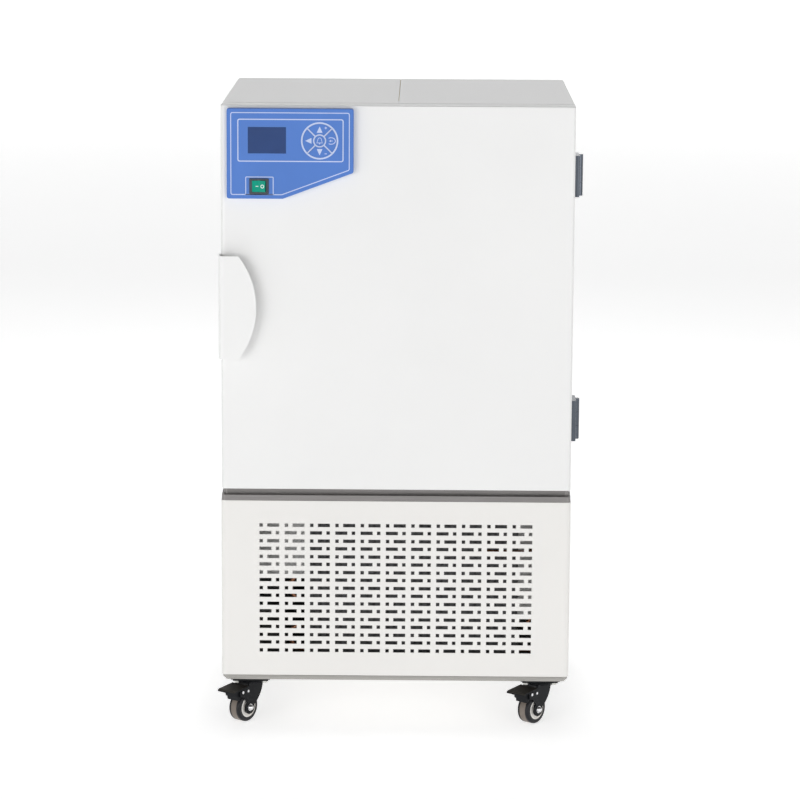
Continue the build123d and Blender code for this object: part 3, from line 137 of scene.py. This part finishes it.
def enamel(name, base, roughness=0.34, grain=0.05, coat=0.2):
    """Powder-coated sheet: fine orange peel, faint cloudiness and small changes in gloss."""
    finish = Finish(name)
    cloud = finish.noise(3.0, 3.0)
    speck = finish.noise(900.0, 1.0)
    light = tuple(min(1.0, c * 1.012) for c in base)
    dark = tuple(c * 0.985 for c in base)
    finish.colour(finish.mix(finish.spread(cloud, 0, 1, 0.35, 0.65), dark, light))
    finish.rough(finish.spread(cloud, roughness - 0.03, roughness + 0.04, 0.3, 0.7))
    finish.set(Coat_Weight=coat, Coat_Roughness=0.12)
    peel = finish.noise(420.0, 2.0)
    finish.bump(finish.math("ADD", peel, finish.math("MULTIPLY", speck, 0.4)), grain, 0.0006)
    return finish.material


def metal(name, base, roughness, stretch=(1, 1, 1), brush=0.12, grain=0.05, scale=300.0):
    """Bare or plated metal, with a brushing or rolling grain along its short stretch."""
    finish = Finish(name)
    strand = finish.noise(scale, 3.0, stretch, 0.6)
    cloud = finish.noise(9.0, 3.0)
    light = tuple(min(1.0, c * (1 + brush)) for c in base)
    dark = tuple(c * (1 - brush) for c in base)
    finish.colour(finish.mix(finish.spread(strand, 0, 1, 0.3, 0.7), dark, light))
    varied = finish.math("ADD", finish.math("MULTIPLY", strand, 0.6), finish.math("MULTIPLY", cloud, 0.4))
    finish.rough(finish.spread(varied, roughness * 0.75, roughness * 1.25, 0.3, 0.7))
    finish.set(Metallic=1.0)
    finish.bump(strand, grain, 0.0003)
    return finish.material


def plastic(name, base, roughness, grain=0.1, scale=900.0, coat=0.0, tint=0.06, specular=0.5):
    """Moulded or printed plastic, with its fine surface grain."""
    finish = Finish(name)
    fine = finish.noise(scale, 2.0)
    cloud = finish.noise(14.0, 2.0)
    light = tuple(min(1.0, c * (1 + tint)) for c in base)
    dark = tuple(c * (1 - tint) for c in base)
    finish.colour(finish.mix(finish.spread(cloud, 0, 1, 0.35, 0.65), dark, light))
    finish.rough(finish.spread(fine, roughness - 0.04, roughness + 0.05, 0.3, 0.7))
    finish.set(Coat_Weight=coat, Coat_Roughness=0.08, Specular_IOR_Level=specular)
    finish.bump(fine, grain, 0.0002)
    return finish.material


def foam(name):
    """Cast foam: a fine open cell with a yellowed skin."""
    finish = Finish(name)
    cell = finish.node("ShaderNodeTexVoronoi")
    cell.inputs["Scale"].default_value = 420.0
    finish.join(finish.place, cell.inputs["Vector"])
    cloud = finish.noise(20.0, 3.0)
    finish.colour(finish.mix(cloud, (0.74, 0.62, 0.36), (0.82, 0.72, 0.48)))
    finish.set(Roughness=0.9)
    finish.bump(cell.outputs["Distance"], 0.4, 0.001)
    return finish.material


def around_axis(finish, centre, axis):
    """The distance of a point from a line, in metres."""
    away = finish.node("ShaderNodeVectorMath", operation="SUBTRACT")
    finish.join(finish.place, away.inputs[0])
    away.inputs[1].default_value = centre
    cross = finish.node("ShaderNodeVectorMath", operation="CROSS_PRODUCT")
    finish.join(away.outputs["Vector"], cross.inputs[0])
    cross.inputs[1].default_value = axis
    length = finish.node("ShaderNodeVectorMath", operation="LENGTH")
    finish.join(cross.outputs["Vector"], length.inputs[0])
    return length.outputs["Value"], away.outputs["Vector"]


def along_axis(finish, away, axis):
    """The distance of a point along a line from its centre, in metres."""
    dot = finish.node("ShaderNodeVectorMath", operation="DOT_PRODUCT")
    finish.join(away, dot.inputs[0])
    dot.inputs[1].default_value = axis
    return dot.outputs["Value"]


HUB_RADIUS, TREAD_HALF, COLOUR_EDGE = 0.0175, 0.0058, 0.0012


def wheel_finish(name, centre, axis):
    """A caster wheel: an ivory hub in a tyre with black shoulders and a smoky brown tread."""
    finish = Finish(name)
    radius, away = around_axis(finish, centre, axis)
    side = finish.math("ABSOLUTE", along_axis(finish, away, axis))
    grain = finish.noise(700.0, 2.0)
    smoke = finish.noise(60.0, 3.0)
    tread = finish.mix(smoke, (0.15, 0.125, 0.105), (0.24, 0.205, 0.178))
    shoulder = finish.mix(smoke, (0.007, 0.007, 0.009), (0.018, 0.018, 0.021))
    band = finish.spread(side, 0, 1, TREAD_HALF - COLOUR_EDGE / 2, TREAD_HALF + COLOUR_EDGE / 2)
    tyre = finish.mix(band, tread, shoulder)
    hub = finish.mix(smoke, (0.88, 0.85, 0.8), (0.95, 0.93, 0.9))
    is_tyre = finish.math("GREATER_THAN", radius, HUB_RADIUS)
    finish.colour(finish.mix(is_tyre, hub, tyre))
    finish.rough(finish.spread(grain, 0.28, 0.42, 0.3, 0.7))
    finish.set(Coat_Weight=0.06, Coat_Roughness=0.2, Specular_IOR_Level=0.22)
    finish.bump(grain, 0.08, 0.0003)
    return finish.material


AXLE_BRIGHT, AXLE_OUT = 0.0062, 0.0153
RIVET_BRIGHT, RIVET_OUT = 0.0026, 0.0153


def fork_finish(name, centre, axis, rivet_spots):
    """Black electro-coated steel, with a bright axle dome and rivets."""
    finish = Finish(name)
    radius, away = around_axis(finish, centre, axis)
    side = finish.math("ABSOLUTE", along_axis(finish, away, axis))
    near_axle = finish.math("LESS_THAN", radius, AXLE_BRIGHT)
    bright = finish.math("MULTIPLY", near_axle, finish.math("GREATER_THAN", side, AXLE_OUT))
    for spot in rivet_spots:
        from_rivet, _ = around_axis(finish, spot, axis)
        near_rivet = finish.math("LESS_THAN", from_rivet, RIVET_BRIGHT)
        one = finish.math("MULTIPLY", near_rivet, finish.math("GREATER_THAN", side, RIVET_OUT))
        bright = finish.math("MAXIMUM", bright, one)
    grain = finish.noise(600.0, 2.0)
    wear = finish.noise(90.0, 4.0)
    black = finish.mix(wear, (0.004, 0.0045, 0.006), (0.011, 0.012, 0.014))
    finish.colour(finish.mix(bright, black, (0.78, 0.78, 0.79)))
    finish.join(bright, finish.shader.inputs["Metallic"])
    plain = finish.spread(grain, 0.3, 0.44, 0.3, 0.7)
    finish.rough(finish.spread(bright, plain, 0.14))
    finish.set(Specular_IOR_Level=0.13)
    finish.bump(grain, 0.1, 0.0003)
    return finish.material


def pedal_finish(name):
    """Black brake pedal, its up-facing faces painted a lighter brown grey as painted light from above."""
    finish = Finish(name)
    grain = finish.noise(600.0, 2.0)
    wear = finish.noise(70.0, 4.0, (1, 0.3, 1))
    facing = finish.node("ShaderNodeSeparateXYZ")
    finish.join(finish.node("ShaderNodeNewGeometry").outputs["Normal"], facing.inputs["Vector"])
    # Faces that point up are painted lighter brown grey: painted light from above.
    painted_top_light_mask = finish.spread(facing.outputs["Z"], 0, 1, 0.35, 0.75)
    black = finish.mix(wear, (0.004, 0.0045, 0.006), (0.01, 0.011, 0.013))
    painted_top_light = finish.mix(wear, (0.03, 0.027, 0.024), (0.062, 0.057, 0.05))
    finish.colour(finish.mix(painted_top_light_mask, black, painted_top_light))
    finish.rough(finish.spread(grain, 0.42, 0.56, 0.3, 0.7))
    finish.set(Specular_IOR_Level=0.15)
    finish.bump(grain, 0.12, 0.0003)
    return finish.material


def rocker_finish(name):
    """Green translucent rocker, its base colour painted brighter in patches as a lamp's faint glow inside."""
    finish = Finish(name)
    fine = finish.noise(500.0, 2.0)
    painted_glow = finish.noise(60.0, 2.0)
    # Brighter green patches: a lamp's glow painted into the base colour.
    finish.colour(finish.mix(painted_glow, (0.002, 0.26, 0.17), (0.006, 0.36, 0.25)))
    finish.rough(finish.spread(fine, 0.16, 0.24, 0.3, 0.7))
    finish.set(Coat_Weight=0.02, Coat_Roughness=0.1, Specular_IOR_Level=0.12)
    finish.bump(fine, 0.03, 0.0002)
    return finish.material


WHITE = (0.83, 0.83, 0.825)
materials = {
    "white_enamel": enamel("white_enamel", WHITE),
    "grille_enamel": enamel("grille_enamel", (0.805, 0.793, 0.77)),
    "grey_enamel": enamel("grey_enamel", (0.33, 0.32, 0.3), 0.42),
    "stainless_steel": metal("stainless_steel", (0.56, 0.56, 0.55), 0.32, (1, 1, 0.02), 0.06, 0.06, 700.0),
    # The trim strip's metal is a darker copy of stainless_steel: painted shade and dark reflection under the door.
    "trim_steel": metal("trim_steel", (0.24, 0.23, 0.226), 0.38, (0.02, 1, 1), 0.1, 0.08, 700.0),
    "galvanised_steel": metal("galvanised_steel", (0.46, 0.48, 0.5), 0.48, (1, 1, 1), 0.12, 0.08, 60.0),
    "bright_chrome": metal("bright_chrome", (0.62, 0.63, 0.65), 0.12, (1, 1, 1), 0.03, 0.02, 200.0),
    # The hinge metal's dark blue-black base is a painted dark reflection on chrome.
    "hinge_steel": metal("hinge_steel", (0.095, 0.107, 0.127), 0.2, (1, 1, 0.05), 0.14, 0.06, 400.0),
    "baffle_grey": plastic("baffle_grey", (0.82, 0.82, 0.81), 0.6, 0.1, 300.0),
    "fin_grey": plastic("fin_grey", (0.17, 0.17, 0.175), 0.6, 0.15, 500.0),
    "zinc_plate": metal("zinc_plate", (0.6, 0.6, 0.57), 0.3, (1, 1, 1), 0.1, 0.05, 250.0),
    "black_steel": plastic("black_steel", (0.007, 0.0075, 0.009), 0.4, 0.1, 600.0, specular=0.15),
    "compressor_black": enamel("compressor_black", (0.008, 0.008, 0.009), 0.3, 0.12, 0.5),
    "copper": metal("copper", (0.63, 0.28, 0.16), 0.32, (1, 1, 1), 0.14, 0.05, 120.0),
    "aluminium_fins": metal("aluminium_fins", (0.5, 0.5, 0.51), 0.4, (1, 1, 0.05), 0.12, 0.1, 500.0),
    "fan_black": plastic("fan_black", (0.012, 0.012, 0.013), 0.4, 0.1, 500.0),
    "foam": foam("foam"),
    "liner_white": plastic("liner_white", (0.78, 0.78, 0.76), 0.34, 0.05, 700.0, 0.1, 0.006),
    "gasket_grey": plastic("gasket_grey", (0.16, 0.16, 0.165), 0.55, 0.12, 500.0),
    "panel_blue": plastic("panel_blue", (0.07, 0.19, 0.57), 0.34, 0.08, 1400.0, 0.05, 0.025, 0.4),
    "key_blue": plastic("key_blue", (0.073, 0.195, 0.58), 0.36, 0.12, 1600.0, 0.04, 0.03, 0.4),
    "lens_navy": plastic("lens_navy", (0.02, 0.054, 0.18), 0.16, 0.02, 600.0, 0.0, 0.08, 0.3),
    "board_green": plastic("board_green", (0.02, 0.12, 0.05), 0.4, 0.15, 300.0),
    "switch_black": plastic("switch_black", (0.04, 0.052, 0.068), 0.42, 0.15, 900.0),
    "rocker_green": rocker_finish("rocker_green"),
}
print_white = plastic("print_white", (0.52, 0.6, 0.82), 0.4, 0.08, 900.0, 0.0, 0.03)
mark_white = plastic("mark_white", (0.78, 0.9, 0.86), 0.4, 0.06, 900.0)

RIVET_PITCH = 13.2 * MM
joints = {joint["name"]: joint for joint in frame["joints"]}
slots_of = {part["node"]: part["material_slot"] for part in frame["record"]["subparts"]}


def dress(name, material):
    """Gives a CAD node one material."""
    mesh = frame["nodes"][name].data
    mesh.materials.clear()
    mesh.materials.append(material)


special = {"condenser": "fin_grey", "air_baffles": "baffle_grey", "front_grille": "grille_enamel",
           # trim_steel is a darker copy of stainless: painted shade and dark reflection.
           "trim_strip": "trim_steel",
           # hinge_steel's dark base is a painted dark reflection.
           "hinge_door_leaves": "hinge_steel", "hinge_frame_leaves": "hinge_steel"}
for node_name in frame["nodes"]:
    slot = special.get(node_name, slots_of[node_name])
    if slot == "caster_wheel":
        joint = joints[node_name.replace("_wheel", "_roll")]
        dress(node_name, wheel_finish(node_name + "_finish", joint["pos_m"], joint["axis"]))
    elif node_name.endswith("_fork"):
        joint = joints[node_name.replace("_fork", "_roll")]
        swivel = joints[node_name.replace("_fork", "_swivel")]
        brake = joints.get(node_name.replace("_fork", "_brake"))
        rivets = []
        if brake:
            pin = Vector(brake["pos_m"])
            towards_axle = Vector(joint["pos_m"]) - Vector(swivel["pos_m"])
            towards_axle.z = 0.0
            rivets = [pin, pin + towards_axle.normalized() * RIVET_PITCH]
        dress(node_name, fork_finish(node_name + "_finish", joint["pos_m"], joint["axis"], rivets))
    elif node_name.endswith("_pedal"):
        dress(node_name, pedal_finish(node_name + "_finish"))
    else:
        dress(node_name, materials[slot])


# Shapes drawn flat on the panel, in millimetres from its top left corner, right and down
overlay_low, overlay_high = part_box("control_overlay")
EDGE = 0.6 * MM
panel_left = overlay_low.x - EDGE
panel_top = overlay_high.z + EDGE
face_y = overlay_low.y


def on_panel(u, v, lift):
    """A point on the panel's face, lifted towards the front, all in millimetres."""
    return Vector((panel_left + u * MM, face_y - lift * MM, panel_top - v * MM))


def ribbon(points, width, closed):
    """The two sides of a line of even width with mitred corners."""
    count = len(points)
    left, right = [], []
    for i, point in enumerate(points):
        before = points[i - 1] if closed or i > 0 else None
        after = points[(i + 1) % count] if closed or i < count - 1 else None
        here = Vector(point)
        into = (here - Vector(before)).normalized() if before is not None else None
        out = (Vector(after) - here).normalized() if after is not None else None
        into = out if into is None else into
        out = into if out is None else out
        tangent = (into + out).normalized()
        normal = Vector((-tangent.y, tangent.x))
        stretch = 1.0 / max(0.35, math.sqrt(max(0.0, (1 + into.dot(out)) / 2)))
        left.append(here + normal * width / 2 * stretch)
        right.append(here - normal * width / 2 * stretch)
    return left, right


def arc(cx, cy, rx, ry, start, end, steps):
    """Points on an ellipse's arc, in degrees."""
    points = []
    for i in range(steps + 1):
        turn = math.radians(start + (end - start) * i / steps)
        points.append((cx + rx * math.cos(turn), cy + ry * math.sin(turn)))
    return points


def rounded(corners, radius, steps=5):
    """A closed outline with its corners rounded."""
    points = []
    count = len(corners)
    for i, corner in enumerate(corners):
        here = Vector(corner)
        into = (Vector(corners[i - 1]) - here).normalized()
        out = (Vector(corners[(i + 1) % count]) - here).normalized()
        half = math.acos(max(-1.0, min(1.0, into.dot(out)))) / 2
        reach = radius / math.tan(half)
        first, last = here + into * reach, here + out * reach
        for j in range(steps + 1):
            t = j / steps
            points.append(tuple(first.lerp(here, t).lerp(here.lerp(last, t), t)))
    return points


class Print:
    """A set of flat, slightly raised shapes, made into one object."""

    def __init__(self, name, lift=0.0, thick=0.12, place=on_panel):
        self.name, self.lift, self.thick, self.place = name, lift, thick, place
        self.bm = bmesh.new()

    def solid(self, outline_sets):
        """Adds closed prisms from quads or polygons given as 2-D points."""
        for outline in outline_sets:
            front = [self.bm.verts.new(self.place(p[0], p[1], self.lift + self.thick)) for p in outline]
            back = [self.bm.verts.new(self.place(p[0], p[1], self.lift - 0.02)) for p in outline]
            self.bm.faces.new(front)
            self.bm.faces.new(list(reversed(back)))
            for i in range(len(outline)):
                j = (i + 1) % len(outline)
                self.bm.faces.new((front[i], back[i], back[j], front[j]))

    def line(self, points, width, closed=False):
        """Adds a line of even width."""
        left, right = ribbon(points, width, closed)
        count = len(points)
        rings = []
        for i in range(count):
            rings.append([
                self.bm.verts.new(self.place(*left[i], self.lift + self.thick)),
                self.bm.verts.new(self.place(*right[i], self.lift + self.thick)),
                self.bm.verts.new(self.place(*right[i], self.lift - 0.02)),
                self.bm.verts.new(self.place(*left[i], self.lift - 0.02)),
            ])
        last = count if closed else count - 1
        for i in range(last):
            a, b = rings[i], rings[(i + 1) % count]
            for k in range(4):
                m = (k + 1) % 4
                self.bm.faces.new((a[k], a[m], b[m], b[k]))
        if not closed:
            self.bm.faces.new(list(reversed(rings[0])))
            self.bm.faces.new(rings[-1])

    def done(self, material, body):
        bmesh.ops.recalc_face_normals(self.bm, faces=self.bm.faces)
        mesh = bpy.data.meshes.new(self.name)
        self.bm.to_mesh(mesh)
        self.bm.free()
        made = bpy.data.objects.new(self.name, mesh)
        scene.collection.objects.link(made)
        mesh.materials.append(material)
        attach(made, body)
        return made


def corners_of(left_u, top_v, right_u, bottom_v):
    """The four corners of an upright rectangle on the panel."""
    return [(left_u, top_v), (right_u, top_v), (right_u, bottom_v), (left_u, bottom_v)]


PANEL_W, PANEL_H, PANEL_SIDE, PANEL_FOOT = 206.0, 147.0, 104.0, 91.0
INSET, SIDE_INSET, FOOT_INSET = 6.9, 4.69, 1.31
DISPLAY_FRAME = (18.4, 17.6, 189.0, 85.6)
SWITCH_FRAME = (31.0, 111.4, 75.6, 140.3)
border = Print("panel_border")
border.line(rounded([
    (INSET, INSET), (PANEL_W - INSET, INSET), (PANEL_W - INSET, PANEL_SIDE - SIDE_INSET),
    (PANEL_FOOT - FOOT_INSET, PANEL_H - INSET), (INSET, PANEL_H - INSET)], 3.2), 1.45, True)
border.line(rounded(corners_of(*DISPLAY_FRAME), 3.2), 1.75, True)
border.line(rounded(corners_of(*SWITCH_FRAME), 1.6), 1.35, True)
border.done(print_white, "door")

KEY_U, KEY_V = 151.0, 52.0
OUTER_RING, OUTER_LINE = 29.0, 2.6
INNER_RING, INNER_LINE = 9.65, 2.1
SPOKE_LINE = 2.0


def circle(cx, cy, radius, count):
    """Evenly spaced points round a circle, for a closed line."""
    return arc(cx, cy, radius, radius, 0, 360 * (count - 1) / count, count - 1)


ring = Print("key_ring")
ring.line(circle(KEY_U, KEY_V, OUTER_RING, 72), OUTER_LINE, True)
ring.line(circle(KEY_U, KEY_V, INNER_RING, 48), INNER_LINE, True)
for angle in (45, 135, 225, 315):
    turn = math.radians(angle)
    ends = (INNER_RING + INNER_LINE * 0.36, OUTER_RING - OUTER_LINE * 0.31)
    ring.line([(KEY_U + r * math.cos(turn), KEY_V + r * math.sin(turn)) for r in ends], SPOKE_LINE)
ring.done(print_white, "door")

KEY_LIFT = 0.4


def bar(across, down, width, height):
    """A level rectangle, its middle measured from the middle of the five keys."""
    u, v = KEY_U + across, KEY_V + down
    return [(u - width / 2, v - height / 2), (u + width / 2, v - height / 2),
            (u + width / 2, v + height / 2), (u - width / 2, v + height / 2)]


ARROW_BASE, ARROW_TIP, ARROW_HALF = 13.2, 23.4, 4.7


def arrow(across, down):
    """A solid arrowhead that points away from the middle of the five keys."""
    corners = ((ARROW_BASE, ARROW_HALF), (ARROW_TIP, 0.0), (ARROW_BASE, -ARROW_HALF))
    return [(KEY_U + reach * across + side * down, KEY_V + reach * down + side * across)
            for reach, side in corners]


SIGN_U, SIGN_V, SIGN_LENGTH, SIGN_LINE = 9.9, 21.0, 3.8, 1.2
SIGN_ARM = (SIGN_LENGTH - SIGN_LINE) / 2
up = Print("key_up_marks", KEY_LIFT)
up.solid([arrow(0, -1), bar(SIGN_U, -SIGN_V, SIGN_LINE, SIGN_LENGTH)])
for way in (-1, 1):
    up.solid([bar(SIGN_U + way * (SIGN_LINE + SIGN_ARM + 0.04) / 2, -SIGN_V, SIGN_ARM, SIGN_LINE)])
up.done(print_white, "key_up")

down = Print("key_down_marks", KEY_LIFT)
down.solid([arrow(0, 1), bar(SIGN_U, SIGN_V, SIGN_LENGTH, SIGN_LINE)])
down.done(print_white, "key_down")

left = Print("key_left_marks", KEY_LIFT)
left.solid([arrow(-1, 0)])
left.done(print_white, "key_left")

right = Print("key_right_marks", KEY_LIFT)
right.line(arc(KEY_U + 18.6, KEY_V, 6.9, 5.3, -125, 125, 24), 1.25)
right.line([(KEY_U + 18.2, KEY_V), (KEY_U + 21.4, KEY_V)], 1.0)
right.solid([[(KEY_U + 15.4, KEY_V), (KEY_U + 18.2, KEY_V - 1.9), (KEY_U + 18.2, KEY_V + 1.9)]])
right.done(print_white, "key_right")

bell = Print("key_middle_marks", KEY_LIFT)
bell.line([(KEY_U - 4.1, KEY_V + 2.2)] + arc(KEY_U, KEY_V - 1.6, 2.9, 3.4, 180, 360, 14)
          + [(KEY_U + 4.1, KEY_V + 2.2)], 0.9)
bell.line([(KEY_U - 5.3, KEY_V + 3.2), (KEY_U + 5.3, KEY_V + 3.2)], 0.95)
bell.solid([arc(KEY_U, KEY_V + 4.7, 1.2, 0.8, 0, 330, 11)])
bell.done(print_white, "key_middle")

# Marks on the two slopes of the rocker: a bar on the left and a ring on the right
switch = Vector(joints["power_switch"]["pos_m"])
# The rocker's half width, the height of its ends above the pin before they tip, and its hollow
ROCKER_HALF, ROCKER_RISE, DIP = 10.8, 5.5, 2.3
TILT = math.radians(joints["power_switch"]["range_deg"][1] / 2)
END_HEIGHT = ROCKER_RISE - ROCKER_HALF * math.sin(TILT)


def on_rocker(u, v, lift):
    """A point on the rocker's slopes at rest: across from its middle, up, and out, in millimetres."""
    height = END_HEIGHT - DIP + DIP * abs(u) / ROCKER_HALF + lift
    x = u * math.cos(-TILT) + height * math.sin(-TILT)
    out = -u * math.sin(-TILT) + height * math.cos(-TILT)
    return Vector((switch.x + x * MM, switch.y - out * MM, switch.z + v * MM))


marks = Print("rocker_marks", 0.0, 0.12, on_rocker)
marks.line([(-5.1, 0.0), (-0.9, 0.0)], 1.2)
marks.line(circle(6.0, 0.0, 2.5, 28), 1.15, True)
marks.done(mark_white, "power_rocker")

# Stage: a pale round floor whose edge turns up into a low wall, the same from every side
FLOOR_FLAT, FLOOR_EDGE, RIM, WALL_TOP, AROUND, RIM_STEPS = 11.0, 12.0, 1.5, 3.4, 96, 8
stage_rows = [(FLOOR_FLAT, 0.0), (FLOOR_EDGE, 0.0)]
for step in range(1, RIM_STEPS + 1):
    turn = math.radians(90 * step / RIM_STEPS)
    stage_rows.append((FLOOR_EDGE + RIM * math.sin(turn), RIM * (1 - math.cos(turn))))
stage_rows.append((FLOOR_EDGE + RIM, WALL_TOP))
floor_mesh = bpy.data.meshes.new("studio_floor")
floor_bm = bmesh.new()
previous = None
for reach, height in stage_rows:
    ring_verts = []
    for i in range(AROUND):
        turn = 2 * math.pi * i / AROUND
        ring_verts.append(floor_bm.verts.new((reach * math.cos(turn), reach * math.sin(turn), height)))
    if previous is None:
        floor_bm.faces.new(ring_verts)
    else:
        for i in range(AROUND):
            j = (i + 1) % AROUND
            floor_bm.faces.new((previous[i], ring_verts[i], ring_verts[j], previous[j]))
    previous = ring_verts
floor_bm.to_mesh(floor_mesh)
floor_bm.free()
for face in floor_mesh.polygons:
    face.use_smooth = True
floor = bpy.data.objects.new("studio_floor", floor_mesh)
scene.collection.objects.link(floor)
paper = Finish("studio_paper")
paper_cloud = paper.noise(1.5, 2.0)
paper.colour(paper.mix(paper_cloud, (0.86, 0.86, 0.86), (0.9, 0.9, 0.9)))
paper.set(Roughness=0.9, Emission_Color=(1, 1, 1, 1), Emission_Strength=0.62)
floor_mesh.materials.append(paper.material)

# Light: a broad key from the front left, a fill from the front right, and one from above behind
world = bpy.data.worlds.new("studio_world")
scene.world = world
world.use_nodes = True
world.node_tree.nodes["Background"].inputs["Color"].default_value = (1.0, 1.0, 1.0, 1.0)
world.node_tree.nodes["Background"].inputs["Strength"].default_value = 0.24


def area(name, place, target, size, power):
    """A rectangular soft light that faces a point."""
    lamp = bpy.data.lights.new(name, "AREA")
    lamp.shape = "RECTANGLE"
    lamp.size, lamp.size_y = size
    lamp.energy = power
    made = bpy.data.objects.new(name, lamp)
    made.location = place
    made.rotation_euler = (Vector(target) - Vector(place)).to_track_quat("-Z", "Y").to_euler()
    scene.collection.objects.link(made)


area("key_light", (-2.4, -3.8, 1.0), (0, 0, 0.65), (2.0, 1.8), 38)
area("fill_light", (2.4, -3.8, 0.95), (0, 0, 0.6), (2.0, 1.8), 25)
area("back_light", (0.0, 3.2, 3.0), (0, 0, 0.8), (2.6, 1.6), 30)

# Camera: the photograph's view
CAMERA_X, CAMERA_Y, CAMERA_Z = 0.0436, -5.6, 1.5332
PITCH, YAW, ROLL = math.radians(10.293), math.radians(0.407), math.radians(0.336)
FOCAL_PX = 3298.2
lens = bpy.data.cameras.new("camera")
lens.sensor_width = 36.0
lens.lens = FOCAL_PX / 800 * 36.0
lens.clip_end = 60
camera = bpy.data.objects.new("camera", lens)
forward = Vector((-math.sin(YAW), math.cos(YAW), 0))
right_way = Vector((math.cos(YAW), math.sin(YAW), 0))
up_way = Vector((0, 0, 1))
aim = forward * math.cos(PITCH) - up_way * math.sin(PITCH)
top_way = up_way * math.cos(PITCH) + forward * math.sin(PITCH)
side_way = right_way * math.cos(ROLL) + top_way * math.sin(ROLL)
top_way = top_way * math.cos(ROLL) - right_way * math.sin(ROLL)
camera.matrix_world = Matrix((
    (side_way.x, top_way.x, -aim.x, CAMERA_X),
    (side_way.y, top_way.y, -aim.y, CAMERA_Y),
    (side_way.z, top_way.z, -aim.z, CAMERA_Z),
    (0, 0, 0, 1),
))
scene.collection.objects.link(camera)
scene.camera = camera
